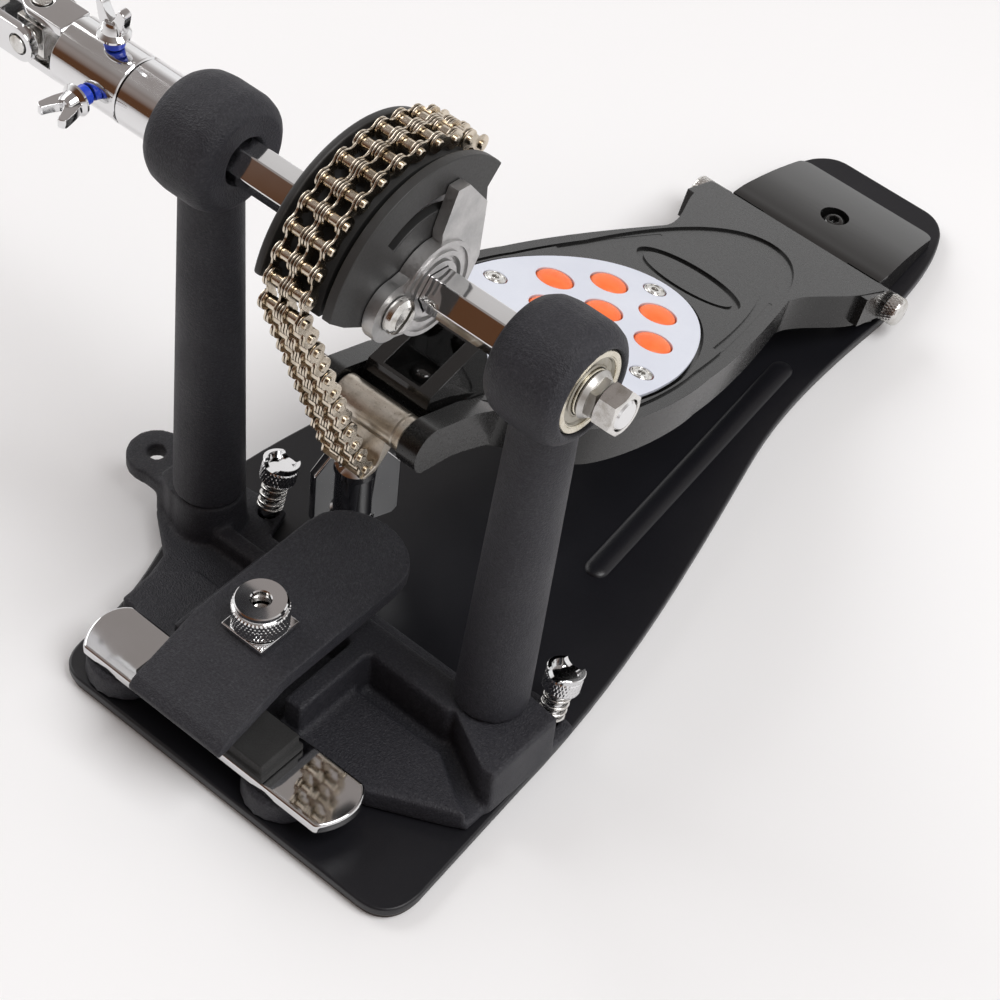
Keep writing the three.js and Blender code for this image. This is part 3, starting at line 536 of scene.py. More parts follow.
def stud_rubber():
    look = Look("orange_rubber", 0.0, 0.42, Subsurface_Weight=0.15, Subsurface_Scale=0.002,
                Specular_IOR_Level=0.4)
    cloud = look.noise(160, 3)
    fine = look.noise(1700, 3, 0.6)
    look.colour(look.ramp(cloud, (0.3, (0.93, 0.16, 0.035)), (0.7, (1.0, 0.21, 0.055))))
    look.rough(look.spread(fine, 0.38, 0.55))
    look.bump(fine, 0.00003, 0.5)
    return look.material


def nylon():
    look = Look("blue_nylon", 0.0, 0.35, Specular_IOR_Level=0.5)
    cloud = look.noise(260, 3)
    look.colour(look.ramp(cloud, (0.3, (0.008, 0.035, 0.42)), (0.7, (0.012, 0.06, 0.6))))
    look.rough(look.spread(look.noise(1500), 0.28, 0.42))
    look.bump(look.noise(900), 0.00004, 0.4)
    return look.material


LOOKS = {
    "casting": powder_coat(),
    "plate": base_paint(),
    "gloss": gloss_black(),
    "heel_gloss": gloss_black("heel_gloss_paint", 0.007, 0.08, 0.15, 0.6),
    "cam": gloss_black("cam_black_plastic", 0.022, 0.42, 0.54, 0.0),
    "rubber": rubber(),
    "sheet": rubber("sheet_rubber", 0.03, 0.35),
    "chrome": chrome(),
    "mirror": chrome("bar_chrome", 0.7, 0.03, 0.07),
    "satin": plated("satin_steel", (0.5, 0.49, 0.47), 0.5, 0.3, 0.42, 0.7),
    "bearing": plated("bearing_steel", (0.66, 0.62, 0.52), 0.4, 0.2, 0.32, 0.8),
    "shield": plated("bearing_shield", (0.36, 0.34, 0.29), 0.4, 0.3, 0.44, 0.7),
    "knuckle": rubber("dark_knuckle", 0.006),
    "steel": plated("bright_steel", (0.68, 0.67, 0.65), 0.4, 0.14, 0.26, 0.6),
    "nickel": plated("chain_nickel", (0.66, 0.585, 0.48), 0.5, 0.14, 0.28, 0.5),
    "cradle": plated("cradle_nickel", (0.6, 0.55, 0.48), 0.6, 0.26, 0.4, 0.6),
    "aluminium": cast_aluminium(),
    "traction": traction_paint(),
    "stud": stud_rubber(),
    "nylon": nylon(),
}


def piece(obj, body, look, *nodes, sharp=32, name=None):
    """Finishes a piece: metres, smooth faces, material, its body, and the CAD nodes that it stands for."""
    obj.name = name or nodes[0] + "_detail"
    obj.data.name = obj.name
    outward(obj)
    obj.data.transform(Matrix.Scale(MM, 4))
    obj.data.shade_smooth()
    obj.data.set_sharp_from_angle(angle=math.radians(sharp))
    if sharp < 180:
        step = obj.modifiers.new("flat faces", "WEIGHTED_NORMAL")
        step.keep_sharp = True
        settled(obj)
        obj.data.name = obj.name
    obj.data.materials.clear()
    obj.data.materials.append(LOOKS[look])
    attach(obj, body)
    if nodes:
        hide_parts(*nodes)
    return obj


# ---- base ----
def base_outline(inset):
    front = -64 + inset
    return drawn(
        (-40, front), [(58, front)], [(69 - inset, front), (69 - inset, -52)], [(65.5 - inset, -8)],
        [(63 - inset, 40), (50 - inset, 86), (40 - inset, 124)],
        [(33 - inset, 150), (33 - inset, 175), (33.5 - inset, 200)],
        [(32 - inset, 230), (25 - inset, 243)], [(21, 249 - inset), (15, 249 - inset)],
        [(-15, 249 - inset)], [(-21, 249 - inset), (-25 + inset, 243)],
        [(-32 + inset, 230), (-33.5 + inset, 200)],
        [(-33 + inset, 175), (-33 + inset, 150), (-40 + inset, 124)],
        [(-50 + inset, 86), (-62 + inset, 50), (-64 + inset, 12)],
        [(-64 + inset, -12), (-51 + inset, -20), (-49.5 + inset, -52)],
        [(-49.5 + inset, front), (-40, front)],
    )[:-1]


def pressed_rib(side):
    """A long rib pressed up in the base plate, rounded across and at both ends."""
    start, end = Vector((side * 34, 58, 4.3)), Vector((side * 24, 163, 4.3))
    length, half, rise = (end - start).length, 3.6, 1.5
    profile = [(half - half * math.cos(a), half * math.sin(a)) for a in (i * math.pi / 16 for i in range(9))]
    profile += [(length - h, r) for h, r in reversed(profile)]
    rib = turned(profile, 32, facing((0, 0, 0), end - start))
    moved(rib, Matrix.Diagonal((1, 1, rise / half, 1)))
    return shift(rib, *start)


def spur_holes():
    """Tools that open the base plate and its sheet under both spurs."""
    return [rod(spur_place(tower) @ Vector((0, 0, -12)), spur_place(tower) @ Vector((0, 0, 0)), SPUR_HOLE_R)
            for tower in FEET]


def base():
    plate = eased(prism(base_outline(0), 1.5, 4.5), 0.7, 3)
    plate = joined(plate, pressed_rib(-1), pressed_rib(1))
    piece(cut(plate, *spur_holes()), "root", "plate", "base_plate")
    sheet = eased(prism(base_outline(0.6), 0, 1.35), 0.3, 2)
    piece(cut(sheet, *spur_holes()), "root", "sheet", "base_rubber_sheet")


def castings():
    piece(cast(node_copy("cross_casting"), 0.6, 12), "root", "casting", "cross_casting", sharp=180)
    for tower in TOWERS:
        body = cast(node_copy(tower + "_tower"), 0.55, 14)
        piece(body, "root", "casting", tower + "_tower", sharp=180)
    piece(cast(node_copy("clamp_tongue"), 0.45, 5), "tongue", "casting", "clamp_tongue", sharp=180)


def bearing(tower):
    half = HOUSING_LENGTH / 2
    x1 = TOWERS["right"] + half - 0.7 if tower == "right" else TOWERS["left"] - half + 11.6
    x0 = x1 - BEARING_WIDTH
    at = (0, SHAFT_Z)
    rim = BEARING_R - 0.3
    outer = turned_x([(x0, 9.2), (x0, rim), (x0 + 0.3, BEARING_R), (x1 - 0.3, BEARING_R), (x1, rim),
                      (x1, 9.5), (x1 - 0.25, 9.3), (x1 - 0.25, 9.1), (x0, 9.2)], 96, at)
    shield = turned_x([(x0 + 0.4, 6.3), (x0 + 0.4, 9.2), (x1 - 0.45, 9.2), (x1 - 0.45, 8.8), (x1 - 0.9, 8.5),
                       (x1 - 0.9, 6.9), (x1 - 0.6, 6.6), (x1 - 0.6, 6.3), (x0 + 0.4, 6.3)], 96, at)
    inner = turned_x([(x0, 4.3), (x0, 6.1), (x1 - 0.2, 6.1), (x1, 5.9), (x1, 4.5), (x1 - 0.2, 4.3),
                      (x0, 4.3)], 96, at)
    piece(gathered(outer, inner), "root", "bearing", tower + "_bearing", sharp=25)
    piece(shield, "root", "shield", name=tower + "_bearing_shield", sharp=25)


# ---- rocker shaft and cam ----
def shaft():
    half = HOUSING_LENGTH / 2
    face = TOWERS["right"] + half
    seat = TOWERS["left"] - half + 12.6
    bar = moved(prism_x(polygon(6, 10.4, math.radians(-HEX_TURN)), seat, face - 8.6), AT_SHAFT)
    bar = eased(bar, 0.35, 3)
    left = turned_x([(-84, 0), (-84, 3.7), (-83.7, 4), (seat + 1, 4), (seat + 1, 0)], 48, (0, SHAFT_Z))
    end = face + 9.6
    right = turned_x([(face - 10, 0), (face - 10, 4), (end - 0.8, 4), (end, 3.3), (end, 0)], 48, (0, SHAFT_Z))
    piece(gathered(bar, left, right), "rocker", "chrome", "rocker_shaft")
    spacer = hex_nut(9.6, face + 0.9, face + 3.5, 10, 4.3)
    lip = turned_x([(face - 0.3, 4.3), (face - 0.3, 6.1), (face + 0.1, 6.3), (face + 1.3, 5.4),
                    (face + 1.3, 4.3), (face - 0.3, 4.3)], 64, (0, SHAFT_Z))
    piece(gathered(spacer, lip), "rocker", "satin", "shaft_end_spacer", sharp=25)
    nut = hex_nut(10.6, face + 3.8, face + 9.3, 10, 4.25)
    piece(nut, "rocker", "steel", "shaft_end_nut", sharp=25)


def cam_side():
    lower = [(-26.5, 3), (-8, -9.6), (7, -9.6), (17, -6), (22, 6), (21.7, 15)]
    return arc((0, 0), CAM_R, 37, 166, 48) + lower


def cam():
    screw_hole = turned_x([(-20, 0), (-20, 2.7), (20, 2.7), (20, 0)], 32, CAM_SCREW)
    left = cut(prism_x(cam_side(), -11.6, -9.4), turned_x([(-20, 0), (-20, 7), (20, 7), (20, 0)], 48))
    left = moved(eased(left, 0.7, 3), AT_SHAFT)
    piece(left, "rocker", "cam", "cam_left_flange")
    right = prism_x(cam_side(), 9.4, 12.1)
    slot_points = arc((0, 0), 19.6, 58, 124, 20) + arc((0, 0), 23.4, 124, 58, 20)
    shaft_hole = turned_x([(0, 0), (0, 7), (20, 7), (20, 0)], 48)
    right = cut(right, shaft_hole, screw_hole, prism_x(slot_points, 8, 14))
    right = moved(eased(right, 0.8, 4), AT_SHAFT)
    piece(right, "rocker", "cam", "cam_right_flange")
    pad = prism_x(arc((0, 0), 30.3, 40, 170, 40) + arc((0, 0), 24.5, 170, 40, 40), -7.2, 7.2)
    piece(moved(eased(pad, 0.4, 2), AT_SHAFT), "rocker", "rubber", "cam_chain_pad")
    piece(eased(node_copy("cam_hub"), 0.5, 2), "rocker", "aluminium", "cam_hub")
    piece(eased(node_copy("chain_anchor"), 0.5, 2), "rocker", "nickel", "chain_anchor")


def cam_clamp():
    tail_outline = [(2, 15), (6.5, 25.5), (10.5, 25), (17.5, 15.5), (16.5, -1), (13, -6.5), (2, -12)]
    tail = prism_x(tail_outline, 12.4, 15.4)
    lobe = turned_x([(12.4, 0), (12.4, 7.8), (15.6, 7.8), (15.6, 0)], 48, CAM_SCREW)
    bridge = prism_x([(-14, -6.5), (0, -12), (0, 10), (-14, 8.3)], 12.4, 15.6)
    disc = turned_x([(12.4, 0), (12.4, 12.6), (16.2, 12.6), (16.2, 0)], 72)
    body = joined(tail, lobe, bridge, disc)
    rings = [turned_x([(x, r0), (x, r1), (18, r1), (18, r0), (x, r0)], 72)
             for r0, r1, x in ((10.0, 11.5, 15.6), (7.4, 8.8, 15.0))]
    body = cut(body, prism_x(polygon(6, 11.0, math.radians(-HEX_TURN)), 8, 20),
               turned_x([(10, 0), (10, 2.6), (20, 2.6), (20, 0)], 32, CAM_SCREW),
               turned_x([(15.6, 0), (15.6, 5.8), (20, 5.8), (20, 0)], 48, CAM_SCREW), *rings)
    piece(moved(eased(body, 0.4, 2), AT_SHAFT), "rocker", "aluminium", "cam_clamp_plate")
    head = turned_x([(15.9, 0), (15.9, 4.7), (16.5, 4.8), (17.6, 4.5), (18.6, 3.4), (19, 0)], 64)
    head = eased(cut(head, block(17.4, 20, -7, 7, -0.65, 0.65)), 0.15, 2)
    turned_about(head, 38, "X")
    shank = turned_x([(9.2, 0), (9.2, 2.3), (16.5, 2.3), (16.5, 0)], 24)
    screw = shift(gathered(head, shank), 0, CAM_SCREW[0], CAM_SCREW[1])
    piece(moved(screw, AT_SHAFT), "rocker", "steel", "cam_screw")


# ---- duplex roller chain ----
STRAND = 3.2
PLATE_R = 2.6
PIN_R = 1.15
PIN_HALF = 7.05
ROLLER_R = 1.55
ROLLER_HALF = 1.5
LINK_THICK = 0.6


def link_plate(a, b, x):
    """A waisted link plate between two pins given as (y, z)."""
    length = math.hypot(b[0] - a[0], b[1] - a[1])
    half = []
    for i in range(9):
        angle = math.radians(180 - 140 * i / 8)
        half.append((PLATE_R * math.cos(angle), PLATE_R * math.sin(angle)))
    half += [(length / 2, 1.35)]
    upper = half + [(length - u, v) for u, v in reversed(half[:-1])]
    outline = upper + [(u, -v) for u, v in reversed(upper[1:-1])]
    plate = prism_x(outline, x - LINK_THICK / 2, x + LINK_THICK / 2)
    lean = math.atan2(b[1] - a[1], b[0] - a[0])
    moved(plate, Matrix.Rotation(lean, 4, "X"))
    return shift(plate, 0, a[0], a[1])


def chain_link(a, b, inner):
    if inner:
        xs = [s * STRAND + t * 1.95 for s in (-1, 1) for t in (-1, 1)]
        return [link_plate(a, b, x) for x in xs]
    return [link_plate(a, b, x) for x in (-6.02, -0.45, 0.45, 6.02)]


def chain_pin(at):
    flat = PIN_HALF - 0.25
    parts = [turned_x([(-PIN_HALF, 0), (-PIN_HALF, 0.8), (-flat, PIN_R), (flat, PIN_R), (PIN_HALF, 0.8),
                       (PIN_HALF, 0)], 20, at)]
    for strand in (-STRAND, STRAND):
        low, high = strand - ROLLER_HALF, strand + ROLLER_HALF
        parts.append(turned_x([(low, 1.2), (low, 1.4), (low + 0.25, ROLLER_R), (high - 0.25, ROLLER_R),
                               (high, 1.4), (high, 1.2), (low, 1.2)], 24, at))
    return parts


def cam_point(angle):
    return CHAIN_R * math.cos(angle), SHAFT_Z + CHAIN_R * math.sin(angle)


def chain():
    on_cam = [cam_point(CHAIN_END - k * CHAIN_STEP) for k in range(13)]
    parts = []
    for k in range(1, 13):
        parts += chain_pin(on_cam[k])
    for k in range(1, 12):
        parts += chain_link(on_cam[k], on_cam[k + 1], k % 2 == 0)
    piece(eased(gathered(*parts), 0.14, 2, 40), "rocker", "nickel", "chain_on_cam", "chain_link_upper")
    loose = chain_link(on_cam[0], on_cam[1], True) + chain_pin(on_cam[0])
    piece(eased(gathered(*loose), 0.14, 2, 40), "chain_lower", "nickel", "chain_link_lower")
    top, low, count = Vector(on_cam[0]), Vector(CHAIN_PIN), 11
    run = [tuple(top.lerp(low, i / count)) for i in range(count + 1)]
    parts = []
    for i in range(count):
        parts += chain_link(run[i], run[i + 1], i % 2 == 1) + chain_pin(run[i + 1])
    piece(eased(gathered(*parts), 0.14, 2, 40), "chain_hanging", "nickel", "chain_run")


# ---- footboard ----
ON_BOARD = Matrix.Translation((0, *BOARD_ZERO)) @ Matrix.Rotation(-BOARD_TILT, 4, "X")


def to_board(y, z):
    point = ON_BOARD.inverted() @ Vector((0, y, z))
    return point.y, point.z


def board_half(inset):
    """The right half of the board's outline, from the toe to the heel."""
    return drawn(
        (16 - inset, -92 + inset), [(16.5 - inset, -76)],
        [(17 - inset, -66), (33 - inset, -66), (36.5 - inset, -52)],
        [(40 - inset, -38), (39.5 - inset, -14), (36.5 - inset, 0)],
        [(34 - inset, 22), (28 - inset, 46), (22.5 - inset, 66)],
        [(22 - inset, 76), (29.5 - inset, 86), (31.5 - inset, 96)],
        [(33.4 - inset, 106.5)], steps=20,
    )


def mirrored(half):
    return half + [(-x, y) for x, y in reversed(half)]


def board_outline(inset):
    rear = 108.6 - inset
    half = board_half(inset)
    return mirrored(half + [(32.2 - inset, rear)])


def traction_outline(inset):
    return mirrored(drawn(
        (0.01, -57 + inset), [(10 - inset / 2, -57 + inset), (20 - inset, -54 + inset)],
        [(33 - inset, -44), (34 - inset, -24), (31.5 - inset, -8)],
        [(28 - inset, 10), (18 - inset, 32.5 - inset), (0.01, 32.5 - inset)], steps=24,
    ))


def arch_band():
    """Tools for the crescent channel in the board's heel half, one for each side."""
    outer = drawn((29.4, 17), [(27, 44), (20, 93), (0, 93)], steps=30)
    inner = drawn((0, 76), [(13, 76), (22, 50), (27, 17)], steps=30)
    half = outer + inner
    return prism(half, -0.7, 2), prism([(-x, y) for x, y in half], -0.7, 2)


SCREW_PLACES = [(-25.6, -17.7), (25.6, -17.7), (0, 26.2)]
STUD_PLACES = [(0, 0)] + [(STUD_SPACING * math.cos(math.radians(a)), STUD_SPACING * math.sin(math.radians(a)))
                          for a in range(0, 360, 60)]


def footboard():
    hy, hz = to_board(*HINGE)
    cy, cz = to_board(*CRADLE)
    skin = prism(board_outline(0), -11, 0)
    hollow = prism(board_outline(3), -12, -3)
    skin = cut(skin, hollow)
    lugs = []
    for side in (-1, 1):
        x0, x1 = (12, 18) if side > 0 else (-18, -12)
        nose = arc((cy, cz), 6.4, 90, 255, 24)
        lug = [(-70, -0.6), (-76, 1.0), (-84, 2.4), *nose, (-87.5, -8.5), (-71.5, -10.5)]
        lugs.append(prism_x(lug, x0, x1))
        x0, x1 = (28.6, 33.9) if side > 0 else (-33.9, -28.6)
        knuckle = arc((hy, hz), 4.7, 50, -130, 20)
        lugs.append(prism_x([(95, -0.2), (hy - 2.6, -0.2), *knuckle, (95, -9.5)], x0, x1))
    skin = joined(skin, *lugs)
    clear = block(-28.2, 28.2, 93, 130, -30, -3.2)
    seat = prism(traction_outline(-1.1), -1.8, 2)
    groove = cut(prism(board_outline(3.4), -0.8, 2), prism(board_outline(4.5), -2, 3))
    front_clear = block(-60, 60, -130, -74, -2, 5)
    groove = cut(groove, front_clear, block(-60, 60, 60, 130, -2, 5))
    badge = [(18 * math.cos(a), 44.5 + 9.2 * math.sin(a)) for a in (i * math.pi / 24 for i in range(48))]
    plaque = [(15.6 * math.cos(a), 44.5 + 6.9 * math.sin(a)) for a in (i * math.pi / 24 for i in range(48))]
    well = cut(prism(badge, -0.8, 2), prism(plaque, -2, -0.3))
    bores = [rod((-40, hy, hz), (40, hy, hz), 2.9), rod((-40, cy, cz), (BOLT_END + 0.3, cy, cz), 2.8)]
    skin = cut(skin, clear, seat, groove, well, *arch_band(), *bores)
    skin = eased(skin, 0.45, 3)
    piece(moved(skin, ON_BOARD), "board", "gloss", "footboard", sharp=28)


def traction():
    plate = prism(traction_outline(0), -0.3, 0.7)
    holes = [rod((x, y, -3), (x, y, 3), STUD_R + 0.15, sides=48) for x, y in STUD_PLACES]
    screws = [rod((x, y, -3), (x, y, 3), 3.5, sides=40) for x, y in SCREW_PLACES]
    plate = eased(cut(plate, *holes, *screws), 0.22, 2)
    piece(moved(plate, ON_BOARD), "board", "traction", "traction_plate")
    mat = prism(traction_outline(3), -1.3, -0.6)
    reach = STUD_R - 0.1
    dome = [(2.2 * math.cos(a) - 0.3, reach * math.sin(a)) for a in (i * math.pi / 20 for i in range(11))]
    domes = [turned([(-0.9, 0), (-0.9, reach), *reversed(dome)], 48, Matrix.Translation((x, y, 0)))
             for x, y in STUD_PLACES]
    piece(moved(gathered(mat, *domes), ON_BOARD), "board", "stud", "grip_mat")
    for number, (x, y) in enumerate(SCREW_PLACES, 1):
        head = turned([(-0.3, 0), (-0.3, 3.1), (0.5, 3.15), (0.72, 3.0), (0.72, 2.3), (0.5, 2.2),
                       (0.62, 2.05), (0.8, 1.9), (0.8, 0)], 48)
        head = cut(head, prism(polygon(6, 2.1), -0.2, 3))
        for turn in (10, 100, 190, 280):
            notch = prism(arc((0, 0), 2.9, turn, turn + 50, 8) + arc((0, 0), 2.5, turn + 50, turn, 8), 0.4, 2)
            head = cut(head, notch)
        screw = gathered(eased(head, 0.08, 1), rod((0, 0, -5), (0, 0, -0.2), 1.6, sides=20))
        piece(moved(shift(screw, x, y, 0), ON_BOARD), "board", "steel", f"traction_screw_{number}")


def toe_block():
    piece(eased(node_copy("toe_block"), 0.7, 3, 25), "board", "heel_gloss", "toe_block", sharp=25)
    board_top = BOARD_ZERO[1] + (BOARD_ZERO[0] - BLOCK_SCREW_Y) * math.tan(BOARD_TILT)
    normal = (0, math.sin(BOARD_TILT), math.cos(BOARD_TILT))
    place = facing((0, BLOCK_SCREW_Y, board_top + BLOCK_SCREW_RISE), normal)
    dome = turned([(0, 0), (0, 3.6), (1.0, 3.6), (1.6, 3.4), (2.1, 2.9), (2.5, 2.1), (2.7, 1.1),
                   (2.75, 0)], 64, place)
    piece(dome, "board", "heel_gloss", "toe_block_screw")


def cradle():
    reach = 11.5
    full, eased_r, bore = 5.0, 4.6, 2.9
    barrel = turned_x([(-reach, bore), (-reach, eased_r), (-reach + 0.5, full), (reach - 3, full),
                       (reach - 2.7, eased_r), (reach - 2.3, eased_r), (reach - 2, full),
                       (reach - 0.5, full), (reach, eased_r), (reach, bore), (-reach, bore)], 64, CRADLE)
    y, z = CHAIN_PIN
    lug = prism_x([(y - 1, z - 2.6), (y + 3, z - 2.8), (CRADLE[0] + 0.6, CRADLE[1] - 3.9),
                   (CRADLE[0] - 3.2, CRADLE[1] + 1.6), (y + 4.6, z + 2), (y + 3, z - 0.6), (y - 2, z - 1.6)],
                  -6.9, 6.9)
    piece(gathered(barrel, eased(lug, 0.4, 2)), "cradle", "cradle", "chain_cradle")
    head = hex_nut(9, -22.6, -18.3, 0, 0, CRADLE)
    shank = turned_x([(-19, 0), (-19, 2.5), (BOLT_END - 0.3, 2.5), (BOLT_END, 2.2), (BOLT_END, 0)], 40,
                     CRADLE)
    piece(gathered(head, shank), "board", "steel", "cradle_bolt", sharp=22)


# ---- heel ----
def heel():
    low = 4.8
    side = drawn((198.2, low), [(237.5, low)], [(238, 7)], [(222, 12.2), (207, 13.4)],
                 [(199.5, 14.3), (198.2, 12.4)])
    plan = [(-16, 190), (16, 190), (16, 202.6), (28, 202.6), (28, 208)]
    plan += drawn((25.5, 235), [(25, 238), (21, 238)]) + drawn((-21, 238), [(-25, 238), (-25.5, 235)])
    plan += [(-28, 208), (-28, 202.6), (-16, 202.6)]
    body = common(prism_x(side, -30, 30), prism(plan, 0, 30))
    body = cut(body, rod((0, 218.5, 6.5), (0, 218.5, 20), 4.6, sides=48))
    piece(eased(body, 0.8, 4), "root", "heel_gloss", "heel_plate")
    for side, name in ((-1, "left"), (1, "right")):
        knuckle = prism_x(arc(HINGE, 3.7, 0, 180, 16) + [(HINGE[0] - 3.7, low), (203.5, low)], 20, 28)
        shift(knuckle, 0 if side > 0 else -48, 0, 0)
        knuckle = cut(knuckle, rod((side * 15, *HINGE), (side * 40, *HINGE), 2.8))
        piece(eased(knuckle, 0.3, 2), "root", "knuckle", name=name + "_hinge_knuckle")
    dome = turned([(6.8, 0), (6.8, 3.9), (9.2, 3.9), (10.0, 3.3), (10.5, 2.4), (10.6, 0)], 48)
    dome = cut(dome, prism(polygon(6, 3), 8.6, 12))
    piece(shift(eased(dome, 0.15, 2), 0, 218.5, 0), "root", "heel_gloss", "heel_plate_screw")
    for side, name in ((-1, "left"), (1, "right")):
        place = facing((side * 34.4, *HINGE), (side, 0, 0))
        grip = knurled(4.6, 0.2, 4.2, 0.22, 26, place)
        cap = turned([(4.2, 0), (4.2, 4.35), (4.6, 4.1), (4.9, 3.3), (5.0, 0)], 48, place)
        neck = turned([(-12.4, 0), (-12.4, 2.3), (0.3, 2.3), (0.3, 0)], 24, place)
        piece(gathered(grip, cap, neck), name + "_pivot", "steel", name + "_pivot_screw")


# ---- hoop clamp ----
def hoop_clamp():
    outline = drawn((-41, -61.4), [(41, -61.4)], [(46, -56), (47, -47), (41, -43)], [(-41, -43)],
                    [(-47, -47), (-46, -56), (-41, -61.4)], steps=24)[:-1]
    piece(eased(prism(outline, 12.2, 15.8), 0.9, 4), "root", "mirror", "hoop_bar")
    low = block(-23, 23, -61.6, -46, 16.1, 18.4)
    high = block(-22.2, 22.2, -60.8, -46.8, 18.4, 22)
    piece(eased(joined(low, high), 0.6, 3), "root", "rubber", "hoop_pad")
    washer = block(-7, 7, STUD_Y - 7, STUD_Y + 7, 39.3, 40.9)
    washer = cut(washer, rod((0, STUD_Y, 30), (0, STUD_Y, 60), 3.5))
    piece(eased(washer, 0.35, 3), "tongue", "chrome", "clamp_washer")
    base_z = 41.2
    at = Matrix.Translation((0, STUD_Y, 0))
    grip = knurled(7.6, base_z + 0.3, base_z + 7.0, 0.34, 44, at)
    shell = turned([(base_z, 3.4), (base_z, 7.0), (base_z + 0.3, 7.25), (base_z + 7.0, 7.25),
                    (base_z + 7.2, 6.9), (base_z + 8.5, 6.9), (base_z + 8.8, 6.6), (base_z + 8.8, 2.9),
                    (base_z + 8.5, 2.6), (base_z + 7.3, 2.6), (base_z + 7.3, 3.4), (base_z, 3.4)], 96, at)
    grip = cut(grip, rod((0, STUD_Y, base_z - 1), (0, STUD_Y, base_z + 9), 3.5))
    piece(gathered(grip, shell), "nut", "chrome", "clamp_nut", sharp=40)
    stud = turned([(8.3, 0), (8.3, 3), (base_z + 3.4, 3), (base_z + 4, 2.4), (base_z + 4, 0)], 48, at)
    piece(stud, "root", "steel", "clamp_stud")


def wing_bolt():
    hub = turned([(19.5, 0), (19.5, 5.0), (20.2, 5.8), (22, 5.8), (22.6, 5.1), (38, 4.9), (38.6, 5.5),
                  (40.6, 5.3), (41.8, 4.2), (42.5, 3), (42.5, 0)], 64)
    stem = turned([(6.6, 0), (6.6, 3.1), (20, 3.1), (20, 0)], 32)
    wing = [(3, 20), (10.5, 20), (12.3, 22), (12.3, 40), (8.0, 46), (5.6, 46), (4.4, 39)]
    upright = Matrix.Rotation(math.pi / 2, 4, "X")
    wings = [prism([(s * u, v) for u, v in wing], -1.5, 1.5, upright) for s in (-1, 1)]
    turned_about(wings[0], 24, "Z", (-5, 0, 0))
    turned_about(wings[1], 24, "Z", (5, 0, 0))
    body = gathered(eased(wings[0], 0.5, 3), eased(wings[1], 0.5, 3), hub, stem)
    moved(body, Matrix.Translation((*WING, 0)) @ Matrix.Rotation(math.radians(45), 4, "Z"))
    piece(body, "wing_bolt", "chrome", "clamp_wing_bolt")


# ---- spurs ----
FEET = {"left": (-53.5, -2.0), "right": (48.5, -3.0)}
SPUR_OFFSET = Vector((10, 13.2, 8))
SPUR_HOLE_R = 2.9
SPUR_AXIS = Vector((0, math.sin(math.radians(16)), math.cos(math.radians(16))))


def spur_place(tower):
    x, y = FEET[tower]
    return facing(Vector((x, y, 0)) + SPUR_OFFSET, SPUR_AXIS)


def spur(tower):
    place = spur_place(tower)
    stem = turned([(-3.2, 0), (-3.2, 0.7), (-0.6, 2.3), (12, 2.3), (12, 0)], 32, place)
    grip = knurled(5.2, 11.2, 15.6, 0.3, 30, place)
    skirt = turned([(10.5, 0), (10.5, 4.5), (11.2, 5.0), (11.2, 0)], 48, place)
    crown = turned([(15.5, 3.5), (15.5, 4.9), (17.3, 5.3), (17.5, 5.1), (17.5, 4.1), (15.2, 3.3), (14.9, 0),
                    (14.7, 0), (14.7, 3.5), (15.5, 3.5)], 48, place)
    saddle = rod((0, -9, 18.6), (0, 9, 18.6), 3.2, sides=40)
    crown = cut(crown, moved(saddle, place))
    body = gathered(stem, grip, skirt, crown)
    piece(body, tower + "_spur_body", "chrome", tower + "_spur", sharp=40)
    a, b = place @ Vector((0, 0, 1.7)), place @ Vector((0, 0, 10.3))
    spring = piece(coil(3.35, 0.52, a, b, 4.6), "root", "steel", tower + "_spur_spring", sharp=60)
    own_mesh(spring)


# ---- drive-shaft joint ----
def wing_screw(body, node, turn):
    """A cast wing screw: round flange, flared neck and two ears."""
    stem = turned([(5.2, 0), (5.2, 1.7), (12.7, 1.7), (12.7, 0)], 32)
    flange = turned([(12.5, 0), (12.5, 3.8), (12.8, 4.3), (13.4, 4.3), (13.8, 3.9), (14.4, 3.2), (16.5, 2.7),
                     (17.2, 2.2), (17.2, 0)], 56)
    ears = []
    for side in (-1, 1):
        ear = drawn((side * 0.4, 13.6), [(side * 3.2, 14)], [(side * 4.4, 17), (side * 4.9, 21)],
                    [(side * 4.2, 22.2), (side * 2.8, 22)], [(side * 1.6, 19), (side * 0.4, 17.4)])
        ears.append(eased(prism(ear, -1.3, 1.3, Matrix.Rotation(math.pi / 2, 4, "X")), 0.6, 3))
    screw = gathered(stem, flange, *ears)
    moved(screw, AT_SHAFT @ Matrix.Translation((YOKE_SCREW_X, 0, 0)) @ Matrix.Rotation(turn, 4, "X"))
    piece(screw, body, "chrome", node)


def nylon_washer(node, turn):
    ring = turned([(9.6, 2.0), (9.6, 2.5), (9.9, 2.7), (11.9, 2.7), (12.2, 2.5), (12.2, 2.0), (9.6, 2.0)], 48)
    moved(ring, AT_SHAFT @ Matrix.Translation((YOKE_SCREW_X, 0, 0)) @ Matrix.Rotation(turn, 4, "X"))
    piece(ring, "rocker", "nylon", node)


def tube(x0, x1, bore):
    ease = 0.5
    return turned_x([(x0, bore), (x0, TUBE_R - ease), (x0 + ease, TUBE_R), (x1 - ease, TUBE_R),
                     (x1, TUBE_R - ease), (x1, bore), (x0, bore)], 96)


def yoke_arm(side, root, turn):
    """A rounded fork arm with the cross's bearing hole, above or below the axis, turned about it."""
    way = 1 if root > JOINT_X else -1
    tip = arc((JOINT_X, 0), 5, 90, 270, 20) if way > 0 else arc((JOINT_X, 0), 5, -90, 90, 20)
    plate = prism([(root, -5 * way), (root, 5 * way), *tip], 6.4, 9)
    plate = cut(plate, rod((JOINT_X, 0, 0), (JOINT_X, 0, 20), 2.9))
    plate = eased(plate, 0.4, 2)
    return turned_about(plate, turn + (180 if side < 0 else 0), "X")


